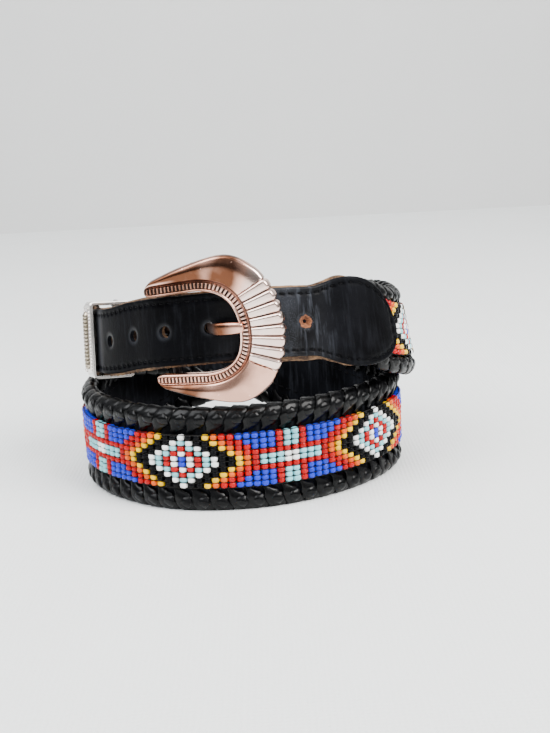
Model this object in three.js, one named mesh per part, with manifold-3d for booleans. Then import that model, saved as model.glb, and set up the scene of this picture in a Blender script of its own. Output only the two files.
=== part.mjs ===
// A laced leather belt with a loomed bead strip, fastened, coiled twice and standing on its edge.
// Millimetres, +Z up, front towards -Y, origin on the floor under the middle of the coil.
import * as THREE from 'three';
import { mergeVertices } from 'three/addons/utils/BufferGeometryUtils.js';
import Module from 'manifold-3d';

const wasm = await Module();
wasm.setup();

// Coil: the ellipse that the core leather follows, and how far the upper turn stands above the lower
const COIL_HALF_LENGTH = 64;
const COIL_HALF_DEPTH = 54;
const SIT_GAP = 0.3;

// Laced body
const BODY_WIDTH = 39;
const CORE_THICKNESS = 3;
const LACE_THICKNESS = 1.7;
const LACE_SWELL = 2.1;
const LACE_DIP = 0.62;
const STITCH_PITCH = 7;
const FLAT_UNDERSIDE = 2.4;

// Loomed bead strip
const BEAD_ROW = 2.04;
const BEAD_ROWS = 10;
const BEAD_BAND_THICKNESS = 2.5;

// Straps at the two ends
const BILLET_WIDTH = 25.4;
const BILLET_THICKNESS = 2;
const LINING_THICKNESS = 1.2;
const LINING_EXTRA_WIDTH = 1.2;
const OVERLAY_WIDTH = 33;
const OVERLAY_LENGTH = 36;
const OVERLAY_POINT = 20;
const OVERLAY_STEP = 16;
const OVERLAY_SEAT = 15;
const BODY_TAPER = 80;
const BODY_END_SHARE = 0.78;
const BUCKLE_STRAP_LENGTH = 80;
const HOLE_DIAMETER = 4.6;
const HOLE_SPACING = 17.5;
const HOLE_COUNT = 5;
const EXTRA_HOLE_FROM_PRONG = 34.8;
const EXTRA_HOLE_DROP = 0;

// Buckle
const BUCKLE_HEIGHT = 54;
const BUCKLE_LENGTH = 51.5;
const BUCKLE_THICKNESS = 2.6;
const BUCKLE_EDGE = 0.7;
const BUCKLE_TURN = 9;
const BUCKLE_TILT = 4.5;
const BUCKLE_STAND_OFF = 1.3;
const BUCKLE_PIVOT = 12;
const BAR_SHARE = 0.462;
const BUCKLE_BEFORE_PRONG = 3.27;
const OPENING_HEIGHT = 30;
const OPENING_LENGTH = 35;
const ARM_TIP = 5;
const BAR_DIAMETER = 3.2;
const LUG_WIDTH = 3;
const LUG_INSET = 4;
const BORDER_WIDTH = 3;
const BORDER_INSET = 1;
const BORDER_END = 4;
const BORDER_HEIGHT = 0.6;
const BORDER_NOTCH = 0.55;
const BORDER_NOTCH_PITCH = 3.3;
const FLUTES = 8;
const FLUTE_FAN = 62;
const PRONG_WIDTH = 3;
const PRONG_THICKNESS = 2.2;
const PRONG_SLOT = 16;
const PRONG_SHOULDER = 6;
const SLOT_ROOM = 0.6;
const FOLD_RUN = 8;
const FOLD_RETURN = 26;

// Keeper and tip
const KEEPER_LENGTH = 11;
const KEEPER_WALL = 1.5;
const KEEPER_HEAD_ROOM = 1;
const KEEPER_BULGE = 0.6;
const KEEPER_DEPTH = 14;
const KEEPER_PLATE = 0.6;
const KEEPER_BEAD = 0.7;
const KEEPER_BEAD_PITCH = 2.8;
const TIP_LENGTH = 12;
const TIP_WALL = 0.8;
const TIP_ROPE = 1.1;

// Clearance between neighbouring pieces
const GAP = 0.3;
const LAYER_GAP = 0.45;

const LOWER_CENTRE = BODY_WIDTH / 2;
const CORE_HALF = BODY_WIDTH / 2 - LACE_THICKNESS - LAYER_GAP;
const BAND_HALF = (BEAD_ROW * BEAD_ROWS) / 2;
const BAND_BACK = CORE_THICKNESS / 2 + LAYER_GAP;
const BAND_FRONT = BAND_BACK + BEAD_BAND_THICKNESS;
const FACE_INNER = -0.1;
const LINING_OUTER = FACE_INNER - GAP;
const STRAP_BACK = LINING_OUTER - LINING_THICKNESS;
const FACE_MIDDLE = FACE_INNER + BILLET_THICKNESS / 2;
const FACE_OUTER = FACE_INNER + BILLET_THICKNESS;

// The route: turned degrees from the front, going left; reach as a share of the ellipse; height of the
// middle above the lower turn's middle as a share of the body width; lean of the top edge inwards.
const ROUTE = [
  { turned: 8, reach: 0.92, rise: 1.26, lean: 0 },
  { turned: 29, reach: 0.862, rise: 1.22, lean: 0 },
  { turned: 45, reach: 0.79, rise: 1.15, lean: 0 },
  { turned: 62, reach: 0.762, rise: 1.05, lean: 1.5 },
  { turned: 87, reach: 0.785, rise: 0.94, lean: 3.5 },
  { turned: 105, reach: 0.8, rise: 0.87, lean: 2.5 },
  { turned: 130, reach: 0.86, rise: 0.77, lean: 0 },
  { turned: 155, reach: 0.89, rise: 0.65, lean: 0 },
  { turned: 180, reach: 0.91, rise: 0.49, lean: 0 },
  { turned: 205, reach: 0.915, rise: 0.28, lean: 0 },
  { turned: 228, reach: 0.925, rise: 0.1, lean: 0 },
  { turned: 246, reach: 0.96, rise: 0.01, lean: 0 },
  { turned: 258, reach: 0.99, rise: 0, lean: 0 },
  { turned: 272, reach: 1, rise: 0, lean: 0 },
  { turned: 302, reach: 0.962, rise: 0, lean: 0 },
  { turned: 325, reach: 0.966, rise: 0, lean: 0 },
  { turned: 350, reach: 0.99, rise: 0, lean: 0 },
  { turned: 385, reach: 0.99, rise: 0, lean: 0 },
  { turned: 409, reach: 0.947, rise: 0, lean: 0 },
  { turned: 432, reach: 0.93, rise: 0, lean: 0 },
  { turned: 452, reach: 0.935, rise: 0, lean: 0 },
  { turned: 472, reach: 1, rise: 0, lean: 0 },
  { turned: 492, reach: 1.1, rise: 0.08, lean: 0 },
  { turned: 516, reach: 1.115, rise: 0.28, lean: 0 },
  { turned: 540, reach: 1.09, rise: 0.46, lean: 0 },
  { turned: 565, reach: 1.09, rise: 0.62, lean: 2 },
  { turned: 590, reach: 1.085, rise: 0.75, lean: 5 },
  { turned: 615, reach: 1.08, rise: 0.84, lean: 8 },
  { turned: 635, reach: 1.06, rise: 0.9, lean: 11 },
  { turned: 650, reach: 1.055, rise: 1.0, lean: 11 },
  { turned: 665, reach: 1.025, rise: 1.15, lean: 9 },
  { turned: 690, reach: 0.985, rise: 1.25, lean: 4 },
  { turned: 720, reach: 0.99, rise: 1.27, lean: 0 },
  { turned: 745, reach: 0.953, rise: 1.22, lean: 0 },
  { turned: 764, reach: 0.862, rise: 1.14, lean: 0.5 },
  { turned: 782, reach: 0.832, rise: 1.04, lean: 2.0 },
  { turned: 807, reach: 0.86, rise: 0.95, lean: 3.5 },
  { turned: 822, reach: 0.96, rise: 0.91, lean: 3.5 },
  { turned: 840, reach: 1.08, rise: 0.88, lean: 3.5 },
];

// Where things sit on the route, in turned degrees
const BAR_AT = 28;
const PRONG_HOLE_AT = 726;
const OVERLAY_POINT_AT = 655;
const KEEPER_AT = 803;
const TONGUE_END_AT = 825;

const LEATHER_BLACK = { color: 0x0b0b0d, roughness: 0.45, metalness: 0 };
const LACE_BLACK = { color: 0x141418, roughness: 0.4, metalness: 0 };
const LEATHER_BROWN = { color: 0x7a5a40, roughness: 0.8, metalness: 0 };
const BEAD_BLUE = { color: 0x2433b8, roughness: 0.25, metalness: 0 };
const COPPER = { color: 0xb4735a, roughness: 0.25, metalness: 1 };
const SILVER = { color: 0xc9c1bd, roughness: 0.3, metalness: 1 };

const radians = THREE.MathUtils.degToRad;
const UP = new THREE.Vector3(0, 0, 1);

const turnedStops = new Float32Array(ROUTE.map((row) => row.turned));
const routeValues = new Float32Array(ROUTE.flatMap((row) => [row.reach, row.rise, row.lean]));
const routeCurve = new THREE.CubicInterpolant(turnedStops, routeValues, 3);

function routePoint(turned) {
  const [reach, rise] = routeCurve.evaluate(turned);
  const angle = radians(-90 - turned);
  const across = COIL_HALF_DEPTH * Math.cos(angle);
  const along = COIL_HALF_LENGTH * Math.sin(angle);
  const radius = (reach * COIL_HALF_LENGTH * COIL_HALF_DEPTH) / Math.hypot(across, along);
  const height = LOWER_CENTRE + Math.max(rise, 0) * (BODY_WIDTH + SIT_GAP);
  return new THREE.Vector3(radius * Math.cos(angle), radius * Math.sin(angle), height);
}

// The strap's own directions: along it, out of the coil, and upright across its width. Where the strap
// climbs, the upright one is longer by the slope, so that the strap keeps its width.
function routeFrame(turned) {
  const step = 0.5;
  const point = routePoint(turned);
  const along = routePoint(turned + step).sub(routePoint(turned - step)).normalize();
  const outLevel = new THREE.Vector3().crossVectors(UP, along).normalize();
  const lean = radians(routeCurve.evaluate(turned)[2]);
  const stretch = 1 / Math.hypot(along.x, along.y);
  const out = outLevel.clone().multiplyScalar(Math.cos(lean)).addScaledVector(UP, Math.sin(lean));
  const across = UP.clone().multiplyScalar(Math.cos(lean)).addScaledVector(outLevel, -Math.sin(lean));
  return { point, along, out, across: across.multiplyScalar(stretch) };
}

// Lengths measured along the route, kept at every degree
const firstTurned = ROUTE[0].turned;
const lastTurned = ROUTE[ROUTE.length - 1].turned;
const lengthAtDegree = [0];
for (let turned = firstTurned + 1; turned <= lastTurned; turned += 1) {
  const step = routePoint(turned).distanceTo(routePoint(turned - 1));
  lengthAtDegree.push(lengthAtDegree[lengthAtDegree.length - 1] + step);
}

function lengthAt(turned) {
  const place = THREE.MathUtils.clamp(turned - firstTurned, 0, lengthAtDegree.length - 1.001);
  const whole = Math.floor(place);
  return THREE.MathUtils.lerp(lengthAtDegree[whole], lengthAtDegree[whole + 1], place - whole);
}

function turnedAt(length) {
  const above = lengthAtDegree.findIndex((value) => value > length);
  const whole = Math.max(above, 1) - 1;
  const share = (length - lengthAtDegree[whole]) / (lengthAtDegree[whole + 1] - lengthAtDegree[whole]);
  return firstTurned + whole + share;
}

function frameAtLength(length) {
  return routeFrame(turnedAt(length));
}

function placeOnFrame(frame, out, across) {
  return frame.point.clone().addScaledVector(frame.out, out).addScaledVector(frame.across, across);
}

// Closed skin through a row of equal rings of points, with flat ends
function loft(rings, capShape) {
  const size = rings[0].length;
  const positions = rings.flat().flatMap((point) => [point.x, point.y, point.z]);
  const indices = [];
  for (let ring = 0; ring < rings.length - 1; ring += 1) {
    for (let side = 0; side < size; side += 1) {
      const here = ring * size + side;
      const next = ring * size + ((side + 1) % size);
      indices.push(here, next, next + size, here, next + size, here + size);
    }
  }
  const last = (rings.length - 1) * size;
  const clockwise = THREE.ShapeUtils.isClockWise(capShape);
  for (const [a, b, c] of THREE.ShapeUtils.triangulateShape(capShape, [])) {
    const [second, third] = clockwise ? [c, b] : [b, c];
    indices.push(a, third, second, last + a, last + second, last + third);
  }
  const geometry = new THREE.BufferGeometry();
  geometry.setAttribute('position', new THREE.Float32BufferAttribute(positions, 3));
  geometry.setIndex(indices);
  return outwards(geometry);
}

// Turns a closed skin so that its faces point out
function outwards(geometry) {
  const position = geometry.getAttribute('position');
  const index = geometry.getIndex();
  const [a, b, c] = [new THREE.Vector3(), new THREE.Vector3(), new THREE.Vector3()];
  let volume = 0;
  for (let corner = 0; corner < index.count; corner += 3) {
    a.fromBufferAttribute(position, index.getX(corner));
    b.fromBufferAttribute(position, index.getX(corner + 1));
    c.fromBufferAttribute(position, index.getX(corner + 2));
    volume += a.dot(b.cross(c));
  }
  if (volume < 0) {
    const turnedAround = Array.from(index.array).reverse();
    geometry.setIndex(turnedAround);
  }
  return geometry;
}

function toSolid(geometry) {
  const bare = geometry.clone();
  bare.deleteAttribute('normal');
  bare.deleteAttribute('uv');
  const merged = mergeVertices(bare, 1e-4);
  return new wasm.Manifold(new wasm.Mesh({
    numProp: 3,
    vertProperties: new Float32Array(merged.getAttribute('position').array),
    triVerts: new Uint32Array(merged.getIndex().array),
  }));
}

function toGeometry(solid) {
  const mesh = solid.getMesh();
  const geometry = new THREE.BufferGeometry();
  geometry.setAttribute('position', new THREE.BufferAttribute(new Float32Array(mesh.vertProperties), 3));
  geometry.setIndex(new THREE.BufferAttribute(new Uint32Array(mesh.triVerts), 1));
  return geometry;
}

function placed(geometry, matrix) {
  return outwards(withIndex(geometry).applyMatrix4(matrix));
}

function withIndex(geometry) {
  if (geometry.getIndex()) return geometry;
  return mergeVertices(geometry);
}

function piece(name, geometry, finish) {
  const mesh = new THREE.Mesh(geometry, new THREE.MeshStandardMaterial(finish));
  mesh.name = name;
  geometry.computeVertexNormals();
  return mesh;
}

// Sweeps a closed profile of { out, across } corners between two lengths; shape(length) gives the corners
function sweep(from, to, steps, profileAt) {
  const rings = [];
  for (let step = 0; step <= steps; step += 1) {
    const length = THREE.MathUtils.lerp(from, to, step / steps);
    const frame = frameAtLength(length);
    rings.push(profileAt(step, length).map((corner) => placeOnFrame(frame, corner.out, corner.across)));
  }
  const cap = profileAt(0, from).map((corner) => new THREE.Vector2(corner.out, corner.across));
  return loft(rings, cap);
}

function boxProfile(outFrom, outTo, half) {
  return [
    { out: outFrom, across: -half },
    { out: outTo, across: -half },
    { out: outTo, across: half },
    { out: outFrom, across: half },
  ];
}

// A flat strap through rows of { length, out, half }, of one thickness, that may bend or fold back
function ribbon(rows, thickness) {
  return ribbonThrough(rows.map(spotOnRoute), thickness);
}

function spotOnRoute(row) {
  const frame = frameAtLength(row.length);
  return { across: frame.across, half: row.half, middle: placeOnFrame(frame, row.out, 0) };
}

function ribbonThrough(spots, thickness) {
  const rings = spots.map((spot, number) => {
    const before = spots[Math.max(number - 1, 0)].middle;
    const after = spots[Math.min(number + 1, spots.length - 1)].middle;
    const along = after.clone().sub(before).normalize();
    const out = new THREE.Vector3().crossVectors(spot.across, along).normalize();
    const across = spot.across.clone().multiplyScalar(spot.half);
    const shift = out.multiplyScalar(thickness / 2);
    return [
      spot.middle.clone().sub(shift).sub(across),
      spot.middle.clone().add(shift).sub(across),
      spot.middle.clone().add(shift).add(across),
      spot.middle.clone().sub(shift).add(across),
    ];
  });
  const cap = [[-1, -1], [1, -1], [1, 1], [-1, 1]].map(([x, y]) => new THREE.Vector2(x, y));
  return loft(rings, cap);
}

const barLength = lengthAt(BAR_AT);
const prongHoleLength = lengthAt(PRONG_HOLE_AT);
const buckleLength = prongHoleLength - BUCKLE_BEFORE_PRONG;
const overlayPointLength = lengthAt(OVERLAY_POINT_AT);
const tongueEndLength = lengthAt(TONGUE_END_AT);
const bodyEndLength = overlayPointLength + OVERLAY_SEAT;
const bodyStartLength = barLength + BUCKLE_STRAP_LENGTH;
const bodyStitches = Math.round((bodyEndLength - bodyStartLength) / STITCH_PITCH);

// Share of the full width that the body keeps near its two ends, where it narrows towards the straps
function bodyShare(length) {
  const fromEnd = Math.min(length - bodyStartLength, bodyEndLength - length);
  return THREE.MathUtils.lerp(BODY_END_SHARE, 1, THREE.MathUtils.smoothstep(fromEnd, 0, BODY_TAPER));
}

function beltStrap() {
  const half = CORE_THICKNESS / 2;
  const profile = (step, length) => boxProfile(-half, half, CORE_HALF * bodyShare(length));
  return sweep(bodyStartLength, bodyEndLength, bodyStitches, profile);
}

function beadBand() {
  return sweep(bodyStartLength, bodyEndLength, bodyStitches, () => boxProfile(BAND_BACK, BAND_FRONT, BAND_HALF));
}

// Leather lace whipped over an edge: side +1 is the upper edge and -1 the lower, with a swell at each stitch
function lacing(side) {
  const core = CORE_THICKNESS / 2 + LAYER_GAP;
  const bandEdge = BAND_HALF + GAP;
  const stride = (bodyEndLength - bodyStartLength) / (bodyStitches * 2);
  const evenShare = (step, length) => (step % 2 === 0
    ? bodyShare(length)
    : (bodyShare(length - stride) + bodyShare(length + stride)) / 2);
  const legSwell = LACE_SWELL;
  return sweep(bodyStartLength, bodyEndLength, bodyStitches * 2, (step, length) => {
    const swell = step % 2 === 0 ? legSwell : legSwell * LACE_DIP;
    const edge = evenShare(step, length) * CORE_HALF + LAYER_GAP;
    const crest = edge + LACE_THICKNESS;
    const corners = [
      { out: core, across: bandEdge },
      { out: core + swell, across: bandEdge + 1 },
      { out: core + swell, across: crest - 2 },
      { out: FLAT_UNDERSIDE / 2, across: crest },
      { out: -FLAT_UNDERSIDE / 2, across: crest },
      { out: -core - swell * 0.8, across: crest - 2 },
      { out: -core, across: bandEdge + 1.5 },
      { out: -core, across: edge },
      { out: core, across: edge },
    ];
    return corners.map((corner) => ({ out: corner.out, across: corner.across * side }));
  });
}

// Half width of an end strap at a distance from its overlay's rounded point
function strapHalf(fromPoint) {
  const wide = OVERLAY_WIDTH / 2;
  const narrow = BILLET_WIDTH / 2;
  if (fromPoint < OVERLAY_POINT) {
    const share = 1 - fromPoint / OVERLAY_POINT;
    return Math.max(wide * Math.sqrt(1 - share * share), 1);
  }
  const flare = THREE.MathUtils.smoothstep(fromPoint, OVERLAY_POINT, OVERLAY_LENGTH);
  return THREE.MathUtils.lerp(wide, narrow, flare);
}

// Height of an end strap's middle over the route: on the beads first, then down to the strap's own level
function strapOut(fromPoint) {
  const onBeads = BAND_FRONT + LAYER_GAP + BILLET_THICKNESS / 2;
  const step = THREE.MathUtils.smoothstep(fromPoint, OVERLAY_SEAT, OVERLAY_SEAT + OVERLAY_STEP);
  return THREE.MathUtils.lerp(onBeads, FACE_MIDDLE, step);
}

function strapRows(pointLength, endLength, direction) {
  const total = Math.abs(endLength - pointLength);
  const rows = [];
  const roundShares = [0, 0.02, 0.07, 0.16, 0.3, 0.5, 0.75, 1];
  for (const share of roundShares) rows.push(share * OVERLAY_POINT);
  const rest = total - OVERLAY_POINT;
  const steps = Math.round(rest / 5);
  for (let step = 1; step <= steps; step += 1) rows.push(OVERLAY_POINT + (rest * step) / steps);
  return rows.map((fromPoint) => ({
    length: pointLength + direction * fromPoint,
    out: strapOut(fromPoint),
    half: strapHalf(fromPoint),
  }));
}

function holeCutter(length, drop = 0) {
  const frame = frameAtLength(length);
  const cylinder = new THREE.CylinderGeometry(HOLE_DIAMETER / 2, HOLE_DIAMETER / 2, 10 * BILLET_THICKNESS, 10);
  const turn = new THREE.Quaternion().setFromUnitVectors(new THREE.Vector3(0, 1, 0), frame.out);
  const middle = placeOnFrame(frame, 0, -drop);
  const matrix = new THREE.Matrix4().compose(middle, turn, new THREE.Vector3(1, 1, 1));
  return toSolid(placed(cylinder, matrix));
}

function holeCutters() {
  const cutters = [];
  for (let hole = -1; hole < HOLE_COUNT - 1; hole += 1) {
    cutters.push(holeCutter(prongHoleLength + hole * HOLE_SPACING));
  }
  cutters.splice(0, 1, holeCutter(prongHoleLength - EXTRA_HOLE_FROM_PRONG, EXTRA_HOLE_DROP));
  return cutters;
}

function withHoles(geometry) {
  const cut = holeCutters().reduce((solid, cutter) => solid.subtract(cutter), toSolid(geometry));
  return toGeometry(cut);
}

function tipBillet() {
  return withHoles(ribbon(strapRows(overlayPointLength, tongueEndLength, 1), BILLET_THICKNESS));
}

function tipBilletLining() {
  const from = bodyEndLength + GAP + 1;
  const middle = LINING_OUTER - LINING_THICKNESS / 2;
  const rows = strapRows(overlayPointLength, tongueEndLength, 1).filter((row) => row.length > from);
  const lined = rows.map((row) => ({ length: row.length, out: middle, half: row.half + LINING_EXTRA_WIDTH / 2 }));
  return withHoles(ribbon(lined, LINING_THICKNESS));
}

const buckleFrame = frameAtLength(buckleLength);
const foldRadius = BAR_DIAMETER / 2 + GAP + BILLET_THICKNESS / 2;

// Places a shape drawn with x to the right, y up the width and z out of the coil onto the buckle's plane,
// which is turned a little so that the arms dip towards the bar and the fan side rides on the strap
function buckleMatrix() {
  const right = new THREE.Vector3().crossVectors(UP, buckleFrame.out).normalize();
  const matrix = new THREE.Matrix4().makeBasis(right, UP, buckleFrame.out);
  matrix.setPosition(buckleFrame.point);
  matrix.multiply(new THREE.Matrix4().makeTranslation(BUCKLE_PIVOT, 0, 0));
  matrix.multiply(new THREE.Matrix4().makeRotationZ(radians(BUCKLE_TILT)));
  matrix.multiply(new THREE.Matrix4().makeRotationY(radians(-BUCKLE_TURN)));
  return matrix.multiply(new THREE.Matrix4().makeTranslation(-BUCKLE_PIVOT, 0, 0));
}

function barMiddle() {
  const frame = frameAtLength(buckleLength + BAR_SHARE * BUCKLE_LENGTH);
  return placeOnFrame(frame, STRAP_BACK - 2 * GAP - foldRadius - BILLET_THICKNESS / 2, 0);
}

const barLocal = barMiddle().applyMatrix4(buckleMatrix().invert());
const barAxis = new THREE.Vector3(0, 1, 0).transformDirection(buckleMatrix());
const holePoint = placeOnFrame(frameAtLength(prongHoleLength), 0, 0).applyMatrix4(buckleMatrix().invert());

// Upper half of the frame's outer edge, from the arm's end round to the fan: shares of half its length
// and half its height
const FRAME_EDGE = [
  { length: -1, height: 0.62 },
  { length: -0.95, height: 0.72 },
  { length: -0.36, height: 0.91 },
  { length: 0.24, height: 1 },
  { length: 0.63, height: 0.81 },
  { length: 0.8, height: 0.57 },
  { length: 0.85, height: 0.28 },
];

// The C-shaped outline: round fan side at the right, two arms ending level at the left
function frameOutline() {
  const halfLength = BUCKLE_LENGTH / 2;
  const halfHeight = BUCKLE_HEIGHT / 2;
  const inTop = OPENING_HEIGHT / 2;
  const inMiddle = OPENING_LENGTH - halfLength - inTop;
  const upper = FRAME_EDGE.map((row) => new THREE.Vector2(row.length * halfLength, row.height * halfHeight));
  const lower = upper.map((point) => new THREE.Vector2(point.x, -point.y)).reverse();
  const edge = new THREE.SplineCurve([...upper, ...lower]).getPoints(30);
  const outline = new THREE.Shape();
  outline.moveTo(1.5 - halfLength, -inTop);
  outline.lineTo(inMiddle, -inTop);
  outline.absarc(inMiddle, 0, inTop, -Math.PI / 2, Math.PI / 2, false);
  outline.lineTo(1.5 - halfLength, inTop);
  for (const point of edge) outline.lineTo(point.x, point.y);
  return outline;
}

function borderOutline() {
  const left = -BUCKLE_LENGTH / 2;
  const inTop = OPENING_HEIGHT / 2 + BORDER_INSET;
  const outTop = inTop + BORDER_WIDTH;
  const middle = left + OPENING_LENGTH - OPENING_HEIGHT / 2;
  const border = new THREE.Shape();
  border.moveTo(left + BORDER_END, inTop);
  border.lineTo(middle, inTop);
  border.absarc(middle, 0, inTop, Math.PI / 2, -Math.PI / 2, true);
  border.lineTo(left + BORDER_END, -inTop);
  border.lineTo(left + BORDER_END, -outTop);
  border.lineTo(middle, -outTop);
  border.absarc(middle, 0, outTop, -Math.PI / 2, Math.PI / 2, false);
  border.lineTo(left + BORDER_END, outTop);
  border.lineTo(left + BORDER_END, inTop);
  return border;
}

function extruded(shape, depth, bevel, curveSegments) {
  const geometry = new THREE.ExtrudeGeometry(shape, {
    depth,
    curveSegments,
    bevelEnabled: bevel > 0,
    bevelThickness: bevel,
    bevelSize: bevel,
    bevelOffset: -bevel,
    bevelSegments: 1,
  });
  geometry.deleteAttribute('normal');
  geometry.deleteAttribute('uv');
  return mergeVertices(geometry, 1e-4);
}

const plateBack = FACE_OUTER + GAP + BUCKLE_STAND_OFF;
const plateFront = plateBack + BUCKLE_THICKNESS;

function notchCutters() {
  const middle = -BUCKLE_LENGTH / 2 + OPENING_LENGTH - OPENING_HEIGHT / 2;
  const ringRadius = OPENING_HEIGHT / 2 + 1 + BORDER_WIDTH / 2;
  const cutters = [];
  const addNotch = (x, y, turn) => {
    const box = new THREE.BoxGeometry(BORDER_NOTCH, BORDER_WIDTH - 0.8, BORDER_HEIGHT * 2);
    const matrix = new THREE.Matrix4().makeRotationZ(turn);
    matrix.setPosition(x, y, plateFront + BORDER_HEIGHT);
    cutters.push(toSolid(placed(box, matrix)));
  };
  const fanNotches = Math.floor((Math.PI * ringRadius) / BORDER_NOTCH_PITCH);
  for (let notch = 0; notch <= fanNotches; notch += 1) {
    const angle = Math.PI / 2 - (Math.PI * notch) / fanNotches;
    addNotch(middle + ringRadius * Math.cos(angle), ringRadius * Math.sin(angle), angle - Math.PI / 2);
  }
  const straight = middle - (-BUCKLE_LENGTH / 2 + 4);
  const armNotches = Math.floor(straight / BORDER_NOTCH_PITCH) - 1;
  for (let notch = 1; notch <= armNotches; notch += 1) {
    addNotch(middle - notch * BORDER_NOTCH_PITCH, ringRadius, 0);
    addNotch(middle - notch * BORDER_NOTCH_PITCH, -ringRadius, 0);
  }
  return cutters;
}

function flute(number) {
  const middle = -BUCKLE_LENGTH / 2 + OPENING_LENGTH - OPENING_HEIGHT / 2;
  const inner = OPENING_HEIGHT / 2 + 1 + BORDER_WIDTH + 0.4;
  const outer = BUCKLE_LENGTH / 2 - 1.6 - middle;
  const share = number / (FLUTES - 1) - 0.5;
  const angle = radians(share * FLUTE_FAN);
  const reach = outer - Math.abs(share) * 3;
  const pitch = radians(FLUTE_FAN / (FLUTES - 1));
  const tip = (reach * pitch) / 2 * 0.94;
  const root = (inner * pitch) / 2 * 0.94;
  const body = new THREE.CylinderGeometry(tip, root, reach - inner, 7, 1);
  const end = new THREE.SphereGeometry(tip, 7, 4);
  const lay = (geometry, radius) => {
    const matrix = new THREE.Matrix4().makeRotationZ(angle - Math.PI / 2);
    const x = middle + radius * Math.cos(angle);
    const y = radius * Math.sin(angle);
    matrix.setPosition(x, y, plateFront - 0.4);
    matrix.scale(new THREE.Vector3(1, 1, 0.8));
    return toSolid(placed(geometry, matrix));
  };
  return lay(body, (inner + reach) / 2).add(lay(end, reach));
}

function barWithLugs() {
  const span = BUCKLE_HEIGHT - 2 * (ARM_TIP + LUG_INSET);
  const bar = new THREE.CylinderGeometry(BAR_DIAMETER / 2, BAR_DIAMETER / 2, span + LUG_WIDTH, 10);
  const barPlace = new THREE.Matrix4().setPosition(barLocal.x, 0, barLocal.z);
  let solid = toSolid(placed(bar, barPlace));
  const rise = plateFront - 1 - (barLocal.z - BAR_DIAMETER / 2);
  for (const side of [-1, 1]) {
    const lug = new THREE.BoxGeometry(BAR_DIAMETER, LUG_WIDTH, rise);
    const middle = barLocal.z - BAR_DIAMETER / 2 + rise / 2;
    const place = new THREE.Matrix4().setPosition(barLocal.x, (side * span) / 2, middle);
    solid = solid.add(toSolid(placed(lug, place)));
  }
  return solid;
}

function buckle() {
  const plate = extruded(frameOutline(), BUCKLE_THICKNESS - 2 * BUCKLE_EDGE, BUCKLE_EDGE, 8);
  plate.translate(0, 0, plateBack + BUCKLE_EDGE);
  const border = extruded(borderOutline(), BORDER_HEIGHT + 0.4, 0, 8);
  border.translate(0, 0, plateFront - 0.4);
  let solid = toSolid(outwards(plate)).add(toSolid(outwards(border)));
  for (const cutter of notchCutters()) solid = solid.subtract(cutter);
  for (let number = 0; number < FLUTES; number += 1) solid = solid.add(flute(number));
  solid = solid.add(barWithLugs());
  return toGeometry(solid).applyMatrix4(buckleMatrix());
}

// The prong turns on the bar, lies under the strap, comes up through the hole and rests on the frame
function prong() {
  const restX = -BUCKLE_LENGTH / 2 + OPENING_LENGTH;
  const under = PRONG_THICKNESS / 2 + GAP;
  const route = [
    { x: barLocal.x + BAR_DIAMETER / 2 + GAP + 0.6, z: barLocal.z - 0.4 },
    { x: barLocal.x + PRONG_SHOULDER, z: barLocal.z + 0.2 },
    { x: holePoint.x - 4, z: holePoint.z + STRAP_BACK - under - 1.2 },
    { x: holePoint.x - 0.9, z: holePoint.z + STRAP_BACK - 1 },
    { x: holePoint.x + 0.6, z: holePoint.z + FACE_OUTER + 0.9 },
    { x: holePoint.x + 4, z: plateFront + BORDER_HEIGHT + 0.6 },
    { x: restX + 1, z: plateFront + BORDER_HEIGHT + under },
    { x: restX + 3, z: plateFront + BORDER_HEIGHT + under },
  ];
  const rings = route.map((spot, number) => {
    const before = route[Math.max(number - 1, 0)];
    const after = route[Math.min(number + 1, route.length - 1)];
    const along = new THREE.Vector2(after.x - before.x, after.z - before.z).normalize();
    const taper = number > route.length - 3 ? 0.8 : 1;
    const half = (PRONG_WIDTH / 2) * taper;
    const thick = (PRONG_THICKNESS / 2) * taper * 0.9;
    const corners = [[-half, -0.5], [-half * 0.6, -1], [half * 0.6, -1], [half, -0.5],
      [half, 0.5], [half * 0.6, 1], [-half * 0.6, 1], [-half, 0.5]];
    return corners.map(([y, level]) => new THREE.Vector3(
      spot.x - along.y * level * thick, holePoint.y + y, spot.z + along.x * level * thick));
  });
  const cap = rings[0].map((point) => new THREE.Vector2(point.y, point.z));
  const shank = toSolid(loft(rings, cap));
  const inner = BAR_DIAMETER / 2 + GAP;
  const wall = 1.3;
  const half = PRONG_WIDTH / 2;
  const profile = [[inner, -half], [inner + wall, -half], [inner + wall, half], [inner, half], [inner, -half]]
    .map(([x, y]) => new THREE.Vector2(x, y));
  const ring = new THREE.LatheGeometry(profile, 14);
  const ringPlace = new THREE.Matrix4().setPosition(barLocal.x, holePoint.y, barLocal.z);
  return toGeometry(shank.add(toSolid(placed(ring, ringPlace)))).applyMatrix4(buckleMatrix());
}

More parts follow.
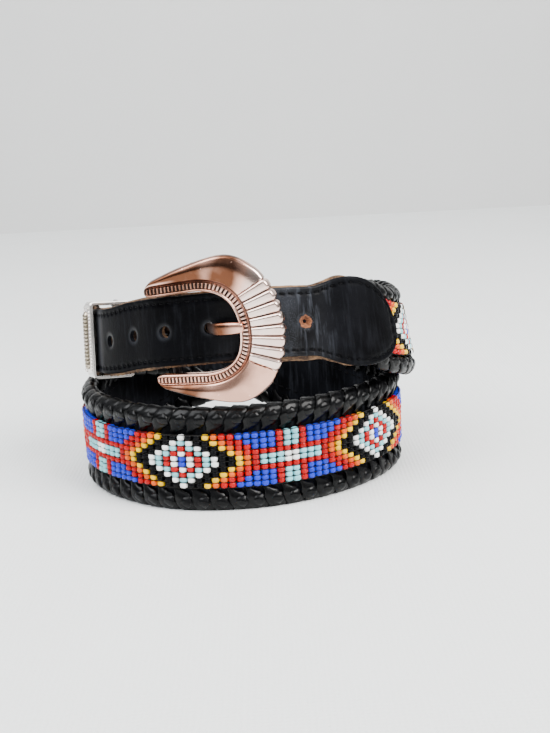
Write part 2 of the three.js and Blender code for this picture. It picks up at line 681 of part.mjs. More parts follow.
// The buckle's strap: from its overlay on the beads to the bar, once round it, and a short way back
function buckleBilletSpots() {
  const pointLength = bodyStartLength + OVERLAY_SEAT;
  const bar = barMiddle();
  const nearBar = frameAtLength(barLength);
  const barPlace = barLength + bar.clone().sub(nearBar.point).dot(nearBar.along);
  const { along } = frameAtLength(barPlace);
  const out = new THREE.Vector3().crossVectors(barAxis, along).normalize();
  const ahead = new THREE.Vector3().crossVectors(out, barAxis).normalize();
  const half = BILLET_WIDTH / 2;
  const fromBar = (forward, outward) => (
    { across: barAxis, half, middle: bar.clone().addScaledVector(ahead, forward).addScaledVector(out, outward) });
  const spots = strapRows(pointLength, barPlace + FOLD_RUN, -1).map(spotOnRoute);
  const turns = 8;
  for (let turn = 0; turn <= turns; turn += 1) {
    const angle = (Math.PI * turn) / turns;
    spots.push(fromBar(-foldRadius * Math.sin(angle), foldRadius * Math.cos(angle)));
  }
  const level = FACE_INNER - LAYER_GAP - BILLET_THICKNESS / 2;
  for (const [place, outward] of [[FOLD_RUN, level - 0.5], [FOLD_RUN * 2, level], [FOLD_RETURN, level]]) {
    spots.push(spotOnRoute({ length: barPlace + place, out: outward, half }));
  }
  return spots;
}

function buckleBillet() {
  const slot = new THREE.BoxGeometry(PRONG_SLOT, PRONG_WIDTH + 2 * SLOT_ROOM, PRONG_SLOT);
  const place = buckleMatrix().multiply(new THREE.Matrix4().setPosition(barLocal.x, holePoint.y, barLocal.z));
  const cutter = toSolid(placed(slot, place));
  return toGeometry(toSolid(ribbonThrough(buckleBilletSpots(), BILLET_THICKNESS)).subtract(cutter));
}

// A flat loop round both straps, with a raised plate and a beaded edge on its outer face
function keeper() {
  const frame = frameAtLength(lengthAt(KEEPER_AT));
  const top = BILLET_WIDTH / 2 + LINING_EXTRA_WIDTH / 2 + KEEPER_HEAD_ROOM;
  const bottom = -(BILLET_WIDTH / 2 + LINING_EXTRA_WIDTH / 2 + GAP);
  const front = FACE_OUTER + GAP + KEEPER_BULGE;
  const back = front - KEEPER_DEPTH;
  const loop = roundedRectangle(back - KEEPER_WALL, bottom - KEEPER_WALL, front + KEEPER_WALL, top + KEEPER_WALL, 1.4);
  loop.holes.push(roundedRectangle(back, bottom, front, top, 0.6));
  const body = extruded(loop, KEEPER_LENGTH, 0, 3);
  body.translate(0, 0, -KEEPER_LENGTH / 2);
  const across = frame.along.clone().cross(frame.out);
  const matrix = new THREE.Matrix4().makeBasis(frame.out, across, frame.along);
  matrix.setPosition(frame.point);
  let solid = toSolid(outwards(body));
  const plateHalf = KEEPER_LENGTH / 2 - 1.6;
  const plate = new THREE.BoxGeometry(KEEPER_PLATE * 2, top - bottom - 2, plateHalf * 2);
  const middle = (top + bottom) / 2;
  const face = front + KEEPER_WALL;
  solid = solid.add(toSolid(placed(plate, new THREE.Matrix4().setPosition(face, middle, 0))));
  const beads = Math.floor((top - bottom) / KEEPER_BEAD_PITCH);
  for (let bead = 0; bead < beads; bead += 1) {
    for (const side of [-1, 1]) {
      const ball = new THREE.OctahedronGeometry(KEEPER_BEAD);
      const height = middle + (bead - (beads - 1) / 2) * KEEPER_BEAD_PITCH;
      const place = new THREE.Matrix4().setPosition(face, height, side * (plateHalf + 0.8));
      solid = solid.add(toSolid(placed(ball, place)));
    }
  }
  return toGeometry(solid).applyMatrix4(matrix);
}

function roundedRectangle(left, low, right, high, radius) {
  const shape = new THREE.Shape();
  shape.moveTo(left + radius, low);
  shape.lineTo(right - radius, low);
  shape.absarc(right - radius, low + radius, radius, -Math.PI / 2, 0, false);
  shape.lineTo(right, high - radius);
  shape.absarc(right - radius, high - radius, radius, 0, Math.PI / 2, false);
  shape.lineTo(left + radius, high);
  shape.absarc(left + radius, high - radius, radius, Math.PI / 2, Math.PI, false);
  shape.lineTo(left, low + radius);
  shape.absarc(left + radius, low + radius, radius, Math.PI, Math.PI * 1.5, false);
  return shape;
}

// A metal sleeve over the strap's end, with a roped rim where the strap goes in
function beltTip() {
  const inside = (FACE_OUTER + STRAP_BACK) / 2;
  const hollow = FACE_OUTER - STRAP_BACK + 2 * GAP;
  const half = BILLET_WIDTH / 2 + LINING_EXTRA_WIDTH / 2 + GAP;
  const start = tongueEndLength - TIP_LENGTH;
  const end = tongueEndLength + GAP;
  const shell = [0, 0.35, 0.7, 1].map((share) => ({
    length: THREE.MathUtils.lerp(start, end, share), out: inside, half: half + TIP_WALL }));
  shell.push({ length: end + TIP_WALL + 1, out: inside, half: half - 3 });
  const room = [-0.2, 0.35, 0.7, 1].map((share) => ({
    length: THREE.MathUtils.lerp(start, end, share), out: inside, half }));
  let solid = toSolid(ribbon(shell, hollow + 2 * TIP_WALL));
  const frame = frameAtLength(start + TIP_ROPE);
  const strands = Math.round((2 * half) / (TIP_ROPE * 2));
  for (let strand = 0; strand < strands; strand += 1) {
    const height = -half + ((strand + 0.5) * 2 * half) / strands;
    const turn = new THREE.Matrix4().makeBasis(frame.out, frame.across.clone().normalize(), frame.along.clone().negate());
    turn.setPosition(placeOnFrame(frame, FACE_OUTER + GAP + TIP_WALL, height));
    turn.multiply(new THREE.Matrix4().makeRotationX(radians(35)));
    const roll = new THREE.CylinderGeometry(TIP_ROPE * 0.75, TIP_ROPE * 0.75, TIP_ROPE * 2, 5);
    roll.rotateX(Math.PI / 2);
    solid = solid.add(toSolid(placed(roll, turn)));
  }
  return toGeometry(solid.subtract(toSolid(ribbon(room, hollow))));
}

const pieces = {
  belt_strap: [beltStrap(), LEATHER_BLACK],
  bead_band: [beadBand(), BEAD_BLUE],
  upper_lacing: [lacing(1), LACE_BLACK],
  lower_lacing: [lacing(-1), LACE_BLACK],
  tip_billet: [tipBillet(), LEATHER_BLACK],
  tip_billet_lining: [tipBilletLining(), LEATHER_BROWN],
  buckle_billet: [buckleBillet(), LEATHER_BLACK],
  buckle_frame: [buckle(), COPPER],
  buckle_prong: [prong(), COPPER],
  keeper: [keeper(), SILVER],
  belt_tip: [beltTip(), SILVER],
};

const belt = new THREE.Group();
for (const [name, [geometry, finish]] of Object.entries(pieces)) {
  belt.add(piece(name, geometry, finish));
}

const extent = new THREE.Box3().setFromObject(belt);
const middle = extent.getCenter(new THREE.Vector3());
belt.position.set(-middle.x, -middle.y, -extent.min.z);

export default belt;
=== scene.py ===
"""Dresses the laced, beaded belt: straps, lacing, beads, castings, finishes, floor and light."""

import logging
import math
from dataclasses import dataclass
from enum import Enum

import bpy
import numpy as np
from mathutils import Matrix, Vector


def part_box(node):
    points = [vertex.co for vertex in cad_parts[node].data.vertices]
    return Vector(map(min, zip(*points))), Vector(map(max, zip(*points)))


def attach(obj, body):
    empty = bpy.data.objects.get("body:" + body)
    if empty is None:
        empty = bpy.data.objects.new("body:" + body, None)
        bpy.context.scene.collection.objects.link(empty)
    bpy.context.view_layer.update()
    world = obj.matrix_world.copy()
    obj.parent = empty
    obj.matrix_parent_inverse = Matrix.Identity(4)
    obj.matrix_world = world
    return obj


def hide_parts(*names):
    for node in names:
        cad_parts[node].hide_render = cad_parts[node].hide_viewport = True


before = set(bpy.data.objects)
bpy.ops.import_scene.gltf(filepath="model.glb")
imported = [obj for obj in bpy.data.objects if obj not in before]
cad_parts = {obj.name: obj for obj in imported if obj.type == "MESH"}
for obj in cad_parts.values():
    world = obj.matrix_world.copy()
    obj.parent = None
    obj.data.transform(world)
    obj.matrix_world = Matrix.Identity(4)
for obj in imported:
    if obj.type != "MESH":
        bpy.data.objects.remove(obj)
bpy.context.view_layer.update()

MM = 0.001
LOG = logging.getLogger("belt")
Array = np.ndarray
Piece = bpy.types.Object
Socket = bpy.types.NodeSocket
Spot = tuple[float, float, float]
Color = tuple[float, float, float, float]

# The coil, as in the solids: half sizes of the ellipse, the body's width and the gap between the two turns
COIL_HALF_LENGTH = 64.0
COIL_HALF_DEPTH = 54.0
BODY_WIDTH = 39.0
SIT_GAP = 0.3

# Turned degrees, reach as a share of the ellipse, rise as a share of the body's width, lean in degrees
ROUTE_STOPS = (
    (8, 0.92, 1.26, 0),
    (29, 0.862, 1.22, 0),
    (45, 0.79, 1.15, 0),
    (62, 0.762, 1.05, 1.5),
    (87, 0.785, 0.94, 3.5),
    (105, 0.8, 0.87, 2.5),
    (130, 0.86, 0.77, 0),
    (155, 0.89, 0.65, 0),
    (180, 0.91, 0.49, 0),
    (205, 0.915, 0.28, 0),
    (228, 0.925, 0.1, 0),
    (246, 0.96, 0.01, 0),
    (258, 0.99, 0, 0),
    (272, 1, 0, 0),
    (302, 0.962, 0, 0),
    (325, 0.966, 0, 0),
    (350, 0.99, 0, 0),
    (385, 0.99, 0, 0),
    (409, 0.947, 0, 0),
    (432, 0.93, 0, 0),
    (452, 0.935, 0, 0),
    (472, 1, 0, 0),
    (492, 1.1, 0.08, 0),
    (516, 1.115, 0.28, 0),
    (540, 1.09, 0.46, 0),
    (565, 1.09, 0.62, 2),
    (590, 1.085, 0.75, 5),
    (615, 1.08, 0.84, 8),
    (635, 1.06, 0.9, 11),
    (650, 1.055, 1.0, 11),
    (665, 1.025, 1.15, 9),
    (690, 0.985, 1.25, 4),
    (720, 0.99, 1.27, 0),
    (745, 0.953, 1.22, 0),
    (764, 0.862, 1.14, 0.5),
    (782, 0.832, 1.04, 2.0),
    (807, 0.86, 0.95, 3.5),
    (822, 0.96, 0.91, 3.5),
    (840, 1.08, 0.88, 3.5),
)

# Places on the route in turned degrees, as in the solids
BAR_AT = 28
PRONG_HOLE_AT = 726
OVERLAY_POINT_AT = 655
KEEPER_AT = 803
TONGUE_END_AT = 825
FRONT_AT = 360
FRONT_DIAMOND = 6.4

# Layers out from the core leather's middle, as in the solids
GAP = 0.3
LAYER_GAP = 0.45
CORE_THICKNESS = 3.0
LACE_THICKNESS = 1.7
CORE_HALF = BODY_WIDTH / 2 - LACE_THICKNESS - LAYER_GAP
BAND_BACK = CORE_THICKNESS / 2 + LAYER_GAP
BEAD_BAND_THICKNESS = 2.5
BAND_FRONT = BAND_BACK + BEAD_BAND_THICKNESS
BILLET_WIDTH = 25.4
BILLET_THICKNESS = 2.0
LINING_THICKNESS = 1.2
FACE_INNER = -0.1
FACE_MIDDLE = FACE_INNER + BILLET_THICKNESS / 2
FACE_OUTER = FACE_INNER + BILLET_THICKNESS
LINING_OUTER = FACE_INNER - GAP
STRAP_BACK = LINING_OUTER - LINING_THICKNESS
OVERLAY_SEAT = 15.0
BUCKLE_STRAP_LENGTH = 80.0
BUCKLE_LENGTH = 51.5
BUCKLE_BEFORE_PRONG = 3.27
BAR_SHARE = 0.462
BAR_DIAMETER = 3.2
BEAD_COLUMN = 2.93
BEAD_ROW = 2.04
BEAD_ROWS = 10
STITCH_INSET = 2.3
FULL_TURN = 2 * math.pi
UP = np.array([0.0, 0.0, 1.0])
OUTWARD = np.array([0.0, 1.0, 0.0])


def unit(vectors: Array) -> Array:
    """Returns the vectors at length one."""
    return vectors / np.linalg.norm(vectors, axis=-1, keepdims=True)


def smoothstep(value: Array, low: float, high: float) -> Array:
    """Returns 0 below low, 1 above high and a smooth rise between."""
    share = np.clip((value - low) / (high - low), 0.0, 1.0)
    return share * share * (3 - 2 * share)


def bell(value: Array, middle: float, width: float, power: int = 2) -> Array:
    """Returns 1 in the middle and less on both sides, with a flatter top for a higher power."""
    return np.exp(-(np.abs((value - middle) / width) ** power))


def round_end(distance: Array, reach: float) -> Array:
    """Returns a quarter round's height, from 0 at the end to 1 from the reach inwards."""
    return np.sqrt(np.clip(1 - (1 - np.clip(distance / reach, 0, 1)) ** 2, 0, 1))


def rows_of(*columns: object) -> Array:
    """Puts columns side by side, where a single number stands in every row."""
    return np.stack(np.broadcast_arrays(*columns), axis=-1)


def circle(count: int) -> Array:
    """Returns angles evenly spaced once round."""
    return np.linspace(0, FULL_TURN, count, endpoint=False)


def run_along(line: Array) -> Array:
    """Returns how far along a line each of its points lies."""
    return np.concatenate([[0.0], np.cumsum(np.linalg.norm(np.diff(line, axis=0), axis=1))])


def through(stops: Array, places: Array) -> Array:
    """Runs a smooth line through stops.

    Args:
        stops: rows of values.
        places: where the line is wanted, counted in stops.

    Returns:
        One row of values for each place.
    """
    padded = np.concatenate([2 * stops[:1] - stops[1:2], stops, 2 * stops[-1:] - stops[-2:-1]])
    whole = np.minimum(places.astype(int), len(stops) - 2)
    share = (places - whole)[:, None]
    before, start, end, after = (padded[whole + step] for step in range(4))
    cubic = 3 * (start - end) + after - before
    square = 2 * before - 5 * start + 4 * end - after
    return start + 0.5 * share * (end - before + share * (square + share * cubic))


def turning(degrees: float, axis: int) -> Array:
    """Returns the four by four matrix of a turn about the axis of a number."""
    angle = math.radians(degrees)
    first, second = (axis + 1) % 3, (axis + 2) % 3
    matrix = np.eye(4)
    matrix[first, first] = matrix[second, second] = math.cos(angle)
    matrix[second, first] = math.sin(angle)
    matrix[first, second] = -math.sin(angle)
    return matrix


def shifting(place: Spot) -> Array:
    """Returns the four by four matrix of a shift."""
    matrix = np.eye(4)
    matrix[:3, 3] = place
    return matrix


class Route:
    """The line that the core leather follows through both turns of the coil, in millimetres."""

    def __init__(self) -> None:
        table = np.array(ROUTE_STOPS, float)
        self.stops = table[:, 0]
        self.columns = table[:, 1:]
        self.shift = np.zeros(3)
        self.degrees = np.arange(self.stops[0], self.stops[-1] + 1)
        self.lengths = run_along(self.points(self.degrees))

    def columns_at(self, turned: Array) -> Array:
        """Runs a smooth curve through the table's columns.

        Args:
            turned: places on the route in turned degrees.

        Returns:
            One row of reach, rise and lean for each place.
        """
        last = len(self.stops) - 1
        right = np.clip(np.searchsorted(self.stops, turned, side="right"), 1, last)
        left = right - 1
        before = np.where(left > 0, left - 1, right)
        after = np.where(right < last, right + 1, left)
        start, end = self.stops[left], self.stops[right]
        share = (turned - start) / (end - start)
        half = (end - start) / 2
        back = half / (start - self.stops[before])
        ahead = half / (self.stops[after] - end)
        square, cube = share**2, share**3
        weights = (
            (-back * cube + 2 * back * square - back * share, before),
            ((1 + back) * cube + (-1.5 - 2 * back) * square + (-0.5 + back) * share + 1, left),
            ((-1 - ahead) * cube + (1.5 + ahead) * square + 0.5 * share, right),
            (ahead * cube - ahead * square, after),
        )
        return sum(weight[:, None] * self.columns[row] for weight, row in weights)

    def points(self, turned: Array) -> Array:
        """Returns the route's points at places in turned degrees."""
        turned = np.asarray(turned, float)
        reach, rise, _ = self.columns_at(turned).T
        angle = np.radians(-90 - turned)
        edge = np.hypot(COIL_HALF_DEPTH * np.cos(angle), COIL_HALF_LENGTH * np.sin(angle))
        radius = reach * COIL_HALF_LENGTH * COIL_HALF_DEPTH / edge
        height = BODY_WIDTH / 2 + np.maximum(rise, 0) * (BODY_WIDTH + SIT_GAP)
        return rows_of(radius * np.cos(angle), radius * np.sin(angle), height)

    def frames(self, length: Array) -> tuple[Array, Array, Array, Array]:
        """Finds the strap's own directions.

        Args:
            length: distances along the route.

        Returns:
            The points, the ways along, the ways out of the coil, and the upright ways across the width.
        """
        turned = self.turned_at(length)
        along = unit(self.points(turned + 0.5) - self.points(turned - 0.5))
        level = unit(np.cross(UP, along))
        lean = np.radians(self.columns_at(turned)[:, 2])[:, None]
        stretch = 1 / np.hypot(along[:, 0], along[:, 1])[:, None]
        out = level * np.cos(lean) + UP * np.sin(lean)
        across = (UP * np.cos(lean) - level * np.sin(lean)) * stretch
        return self.points(turned), along, out, across

    def length_at(self, turned: float) -> float:
        """Returns the distance along the route at a place in turned degrees."""
        return float(np.interp(turned, self.degrees, self.lengths))

    def turned_at(self, length: Array) -> Array:
        """Returns the place in turned degrees at distances along the route."""
        return np.interp(np.atleast_1d(np.asarray(length, float)), self.lengths, self.degrees)

    def wrap(self, flat: Array) -> Array:
        """Lays points of the flat pattern onto the coil.

        Args:
            flat: rows of distance along the belt, height out of its face, and distance across its width.

        Returns:
            The points in metres, in the solid model's place.
        """
        point, _, out, across = self.frames(flat[:, 0])
        laid = point + out * flat[:, 1:2] + across * flat[:, 2:3]
        return (laid + self.shift) * MM

    def settle(self) -> None:
        """Finds where the solid model's coil stands, from its strip of beads."""
        count, half = 500, BEAD_ROW * BEAD_ROWS / 2
        lengths = np.linspace(self.body_start, self.body_end, count)
        corners = [
            rows_of(lengths, out, across)
            for out in (BAND_BACK, BAND_FRONT)
            for across in (-half, half)
        ]
        own = self.wrap(np.concatenate(corners))
        low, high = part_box("bead_band")
        middle = (np.array(low) + np.array(high)) / 2
        self.shift = (middle - (own.min(axis=0) + own.max(axis=0)) / 2) / MM

    @property
    def body_start(self) -> float:
        """The laced body's end by the buckle."""
        return self.length_at(BAR_AT) + BUCKLE_STRAP_LENGTH

    @property
    def body_end(self) -> float:
        """The laced body's end by the hole strap."""
        return self.length_at(OVERLAY_POINT_AT) + OVERLAY_SEAT


ROUTE = Route()
ROUTE.settle()


# Mesh work

def deselect() -> None:
    """Leaves nothing selected."""
    if bpy.context.object and bpy.context.object.mode != "OBJECT":
        bpy.ops.object.mode_set(mode="OBJECT")
    bpy.ops.object.select_all(action="DESELECT")


def pick(piece: Piece) -> None:
    """Makes one piece the selected and active one."""
    deselect()
    piece.select_set(True)
    bpy.context.view_layer.objects.active = piece


def spots_of(piece: Piece) -> Array:
    """Returns a piece's corner points as rows."""
    values = np.zeros(len(piece.data.vertices) * 3)
    piece.data.vertices.foreach_get("co", values)
    return values.reshape(-1, 3)


def move_spots(piece: Piece, spots: Array) -> None:
    """Puts a piece's corner points at new places."""
    piece.data.vertices.foreach_set("co", spots.astype(np.float32).ravel())
    piece.data.update()


def face_outwards(piece: Piece) -> None:
    """Turns every face of a piece outwards."""
    pick(piece)
    bpy.ops.object.mode_set(mode="EDIT")
    bpy.ops.mesh.select_all(action="SELECT")
    bpy.ops.mesh.normals_make_consistent(inside=False)
    bpy.ops.object.mode_set(mode="OBJECT")


def loft(name: str, rings: Array, joined: bool = False, caps: bool = True) -> Piece:
    """Skins a row of equal rings of points, starting from a flat grid.

    Args:
        name: the new piece's name.
        rings: points, ring by ring, each ring closed.
        joined: whether the last ring meets the first.
        caps: whether open ends are filled.

    Returns:
        The closed piece, with its faces outwards.
    """
    if joined:
        rings = np.concatenate([rings, rings[:1]])
    rings = np.concatenate([rings, rings[:, :1]], axis=1)
    rows, columns = rings.shape[:2]
    deselect()
    bpy.ops.mesh.primitive_grid_add(x_subdivisions=columns - 1, y_subdivisions=rows - 1, size=1)
    piece = bpy.context.object
    piece.name = name
    piece.data.name = name
    move_spots(piece, rings.reshape(-1, 3))
    bpy.ops.object.mode_set(mode="EDIT")
    bpy.ops.mesh.select_all(action="SELECT")
    bpy.ops.mesh.remove_doubles(threshold=1e-4)
    if caps and not joined:
        bpy.ops.mesh.select_all(action="DESELECT")
        bpy.ops.mesh.select_mode(type="EDGE")
        bpy.ops.mesh.select_non_manifold()
        bpy.ops.mesh.edge_face_add()
        bpy.ops.mesh.select_mode(type="VERT")
    face_outwards(piece)
    return piece


def copies(name: str, pattern: Piece, moves: Array) -> Piece:
    """Joins many copies of one small shape in one mesh, and removes the pattern.

    Args:
        name: the new piece's name.
        pattern: the shape that is copied.
        moves: one four by four matrix for each copy.

    Returns:
        The joined piece.
    """
    spots = spots_of(pattern)
    spots = np.concatenate([spots, np.ones((len(spots), 1))], axis=1)
    laid = np.einsum("kij,vj->kvi", moves, spots)[:, :, :3]
    loops = np.zeros(len(pattern.data.loops), int)
    pattern.data.loops.foreach_get("vertex_index", loops)
    starts = np.zeros(len(pattern.data.polygons), int)
    pattern.data.polygons.foreach_get("loop_start", starts)
    count = len(moves)
    shift = np.arange(count)[:, None]
    mesh = bpy.data.meshes.new(name)
    mesh.vertices.add(count * len(spots))
    mesh.vertices.foreach_set("co", laid.astype(np.float32).ravel())
    mesh.loops.add(count * len(loops))
    mesh.loops.foreach_set("vertex_index", (loops + shift * len(spots)).ravel())
    mesh.polygons.add(count * len(starts))
    mesh.polygons.foreach_set("loop_start", (starts + shift * len(loops)).ravel())
    mesh.update(calc_edges=True)
    mesh.validate()
    piece = bpy.data.objects.new(name, mesh)
    bpy.context.scene.collection.objects.link(piece)
    bpy.data.objects.remove(pattern)
    return piece


def move_matrices(places: Array, firsts: Array, seconds: Array, thirds: Array) -> Array:
    """Packs places and the three scaled directions of each copy into four by four matrices."""
    moves = np.zeros((len(places), 4, 4))
    moves[:, :3, 0] = firsts
    moves[:, :3, 1] = seconds
    moves[:, :3, 2] = thirds
    moves[:, :3, 3] = places
    moves[:, 3, 3] = 1
    return moves


def note(piece: Piece, name: str, values: Array) -> None:
    """Keeps a number, a direction or a colour at each corner point of a piece.

    Args:
        piece: the piece that carries the values.
        name: the attribute's name.
        values: one value, three or four, for each point.
    """
    kinds = {1: ("FLOAT", "value"), 3: ("FLOAT_VECTOR", "vector"), 4: ("FLOAT_COLOR", "color")}
    width = 1 if values.ndim == 1 else values.shape[1]
    kind, slot = kinds[width]
    attribute = piece.data.attributes.new(name, kind, "POINT")
    attribute.data.foreach_set(slot, values.astype(np.float32).ravel())


def smooth(piece: Piece, degrees: float = 40.0) -> None:
    """Shades a piece smooth, with edges sharper than the angle kept crisp."""
    pick(piece)
    bpy.ops.object.shade_smooth_by_angle(angle=math.radians(degrees))


def modified(piece: Piece, kind: str, **settings: object) -> None:
    """Adds one modifier with its settings and applies it."""
    pick(piece)
    modifier = piece.modifiers.new(kind.title(), kind)
    for key, value in settings.items():
        setattr(modifier, key, value)
    bpy.ops.object.modifier_apply(modifier=modifier.name)


def block(place: Spot, size: Spot, bevel: float = 0.0) -> Piece:
    """Returns a block, with rounded edges where a bevel is given."""
    deselect()
    bpy.ops.mesh.primitive_cube_add(size=1)
    piece = bpy.context.object
    move_spots(piece, spots_of(piece) * size + place)
    if bevel:
        modified(piece, "BEVEL", width=bevel, segments=3)
    return piece


def ball(segments: int, rings: int, radius: float = 1.0) -> Piece:
    """Returns a small ball, as a pattern for copies."""
    deselect()
    bpy.ops.mesh.primitive_uv_sphere_add(segments=segments, ring_count=rings, radius=radius)
    return bpy.context.object


def cut(piece: Piece, tool: Piece) -> None:
    """Cuts a tool's shape out of a piece, and removes the tool."""
    modified(piece, "BOOLEAN", operation="DIFFERENCE", object=tool, solver="EXACT")
    bpy.data.objects.remove(tool)


def note_even(piece: Piece, **values: float) -> None:
    """Keeps numbers that are the same all over a piece."""
    for name, value in values.items():
        note(piece, name, np.full(len(piece.data.vertices), value))


def hand_over(piece: Piece, slot: str, material: bpy.types.Material, *nodes: str) -> None:
    """Gives a finished piece its material and its place in the model.

    Args:
        piece: the finished piece, in metres, with its object at the origin.
        slot: not used.
        material: what it is made of.
        nodes: the solids that it stands for.
    """
    piece.data.materials.clear()
    piece.data.materials.append(material)
    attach(piece, "root")
    if nodes:
        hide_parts(*nodes)
    piece.data.calc_loop_triangles()
    LOG.info("%s: %d triangles", piece.name, len(piece.data.loop_triangles))


def lay_flat_piece(piece: Piece, degrees: float = 40.0) -> None:
    """Wraps a piece that was made flat onto the coil, and keeps its flat places for the patterns."""
    flat = spots_of(piece)
    note(piece, "flat", flat * MM)
    move_spots(piece, ROUTE.wrap(flat))
    smooth(piece, degrees)


# Finishes

class Wiring:
    """Short ways to place and join the nodes of one tree."""

    def __init__(self, tree: bpy.types.NodeTree) -> None:
        self.tree = tree

    def node(self, kind: str, **settings: object) -> bpy.types.Node:
        """Adds a node and sets its own options."""
        made = self.tree.nodes.new(kind)
        for key, value in settings.items():
            setattr(made, key, value)
        return made

    def feed(self, socket: Socket, value: object) -> None:
        """Links a socket, or sets it where the value is plain."""
        if isinstance(value, Socket):
            self.tree.links.new(value, socket)
        else:
            socket.default_value = value

    def fill(self, node: bpy.types.Node, **values: object) -> bpy.types.Node:
        """Sets or links a node's inputs by name."""
        for key, value in values.items():
            self.feed(node.inputs[key.replace("_", " ")], value)
        return node

    def stretched(self, vector: Socket, scale: Spot, turn: Spot = (0, 0, 0)) -> Socket:
        """Scales and turns a pattern's coordinates."""
        made = self.fill(self.node("ShaderNodeMapping"), Vector=vector, Scale=scale, Rotation=turn)
        return made.outputs["Vector"]

    def noise(self, vector: Socket, scale: object, detail: float = 3.0, rough: float = 0.5) -> Socket:
        """Adds a cloudy pattern.

        Args:
            vector: the coordinates that it reads.
            scale: how many clouds there are in a metre.
            detail: how many finer layers it has.
            rough: how strong the finer layers are.

        Returns:
            The pattern's value.
        """
        made = self.node("ShaderNodeTexNoise")
        self.fill(made, Vector=vector, Scale=scale, Detail=detail, Roughness=rough)
        return made.outputs["Fac"]

    def spread(
        self, value: Socket, low: float, high: float, to_low: float = 0, to_high: float = 1,
        way: str = "LINEAR",
    ) -> Socket:
        """Stretches part of a value's range to a new one, and holds it at the ends."""
        made = self.node("ShaderNodeMapRange", interpolation_type=way)
        self.fill(made, Value=value, From_Min=low, From_Max=high, To_Min=to_low, To_Max=to_high)
        return made.outputs["Result"]

    def bands(self, vector: Socket, direction: str, **values: float) -> Socket:
        """Adds a pattern of even bands."""
        made = self.node("ShaderNodeTexWave", wave_type="BANDS", bands_direction=direction)
        return self.fill(made, Vector=vector, **values).outputs["Fac"]

    def sum_of(self, operation: str, *values: object) -> Socket:
        """Joins values with one sum."""
        made = self.node("ShaderNodeMath", operation=operation)
        for socket, value in zip(made.inputs, values):
            self.feed(socket, value)
        return made.outputs["Value"]

    def mix(self, share: object, first: object, second: object, way: str = "MIX") -> Socket:
        """Blends two colours."""
        made = self.node("ShaderNodeMix", data_type="RGBA", blend_type=way)
        for number, value in ((0, share), (6, first), (7, second)):
            self.feed(made.inputs[number], value)
        return made.outputs[2]

    def group(self, tree: bpy.types.NodeTree, **values: object) -> bpy.types.Node:
        """Places a shared effect with its own values."""
        return self.fill(self.node("ShaderNodeGroup", node_tree=tree), **values)


class Bench(Wiring):
    """One material with a Principled shader."""

    def __init__(self, name: str) -> None:
        self.material = bpy.data.materials.new(name)
        self.material.use_nodes = True
        super().__init__(self.material.node_tree)
        self.shader = next(node for node in self.tree.nodes if node.type == "BSDF_PRINCIPLED")

    def attribute(self, name: str, slot: str = "Fac") -> Socket:
        """Reads one of the piece's own attributes."""
        return self.node("ShaderNodeAttribute", attribute_name=name).outputs[slot]

    def own_place(self) -> Socket:
        """Reads Object coordinates."""
        return self.node("ShaderNodeTexCoord").outputs["Object"]

    def bump(self, height: Socket, depth: float, strength: float) -> None:
        """Adds relief of a depth in metres over the relief that is already there."""
        made = self.fill(self.node("ShaderNodeBump"), Strength=strength, Distance=depth, Height=height)
        socket = self.shader.inputs["Normal"]
        if socket.is_linked:
            self.feed(made.inputs["Normal"], socket.links[0].from_socket)
        self.feed(socket, made.outputs["Normal"])

    def set_shader(self, **values: object) -> None:
        """Sets or links the shader's sockets by name."""
        self.fill(self.shader, **values)


class SharedEffects:
    """Effects that more than one finish uses, each one group of nodes."""

    def __init__(self) -> None:
        self.grain = self.make_grain()
        self.handling = self.make_handling()

    @staticmethod
    def open_group(name: str, *outputs: str) -> tuple[Wiring, Socket, Socket]:
        """Makes an empty group that reads a place and a scale.

        Args:
            name: the group's name.
            outputs: the names of its value outputs.

        Returns:
            The group's wiring, and its place and scale.
        """
        tree = bpy.data.node_groups.new(name, "ShaderNodeTree")
        sockets = [("Place", "INPUT", "NodeSocketVector"), ("Scale", "INPUT", "NodeSocketFloat")]
        sockets += [(label, "OUTPUT", "NodeSocketFloat") for label in outputs]
        for label, side, kind in sockets:
            tree.interface.new_socket(name=label, in_out=side, socket_type=kind)
        start = tree.nodes.new("NodeGroupInput")
        tree.nodes.new("NodeGroupOutput")
        return Wiring(tree), start.outputs["Place"], start.outputs["Scale"]

    def make_grain(self) -> bpy.types.NodeTree:
        """Returns leather grain: pebbles broken up by clouds, as a height and as pores."""
        wiring, place, scale = self.open_group("leather grain", "Height", "Pores")
        clouds = wiring.noise(place, scale, 4)
        pebbles = wiring.fill(wiring.node("ShaderNodeTexVoronoi"), Vector=place, Scale=scale)
        height = wiring.sum_of("MULTIPLY_ADD", pebbles.outputs["Distance"], 0.6, clouds)
        pores = wiring.spread(clouds, 0.62, 0.8)
        wiring.fill(wiring.tree.nodes["Group Output"], Height=height, Pores=pores)
        return wiring.tree

    def make_handling(self) -> bpy.types.NodeTree:
        """Returns marks of handling: broad smudges and fine scratches."""
        wiring, place, scale = self.open_group("handling marks", "Smudges", "Scratches")
        streaks = wiring.stretched(place, (3.0, 40.0, 14.0), (0.3, 0.5, 0.8))
        scratches = wiring.spread(wiring.noise(streaks, scale, 2), 0.6, 0.75)
        ends = wiring.tree.nodes["Group Output"]
        wiring.fill(ends, Smudges=wiring.noise(place, scale, 3), Scratches=scratches)
        return wiring.tree


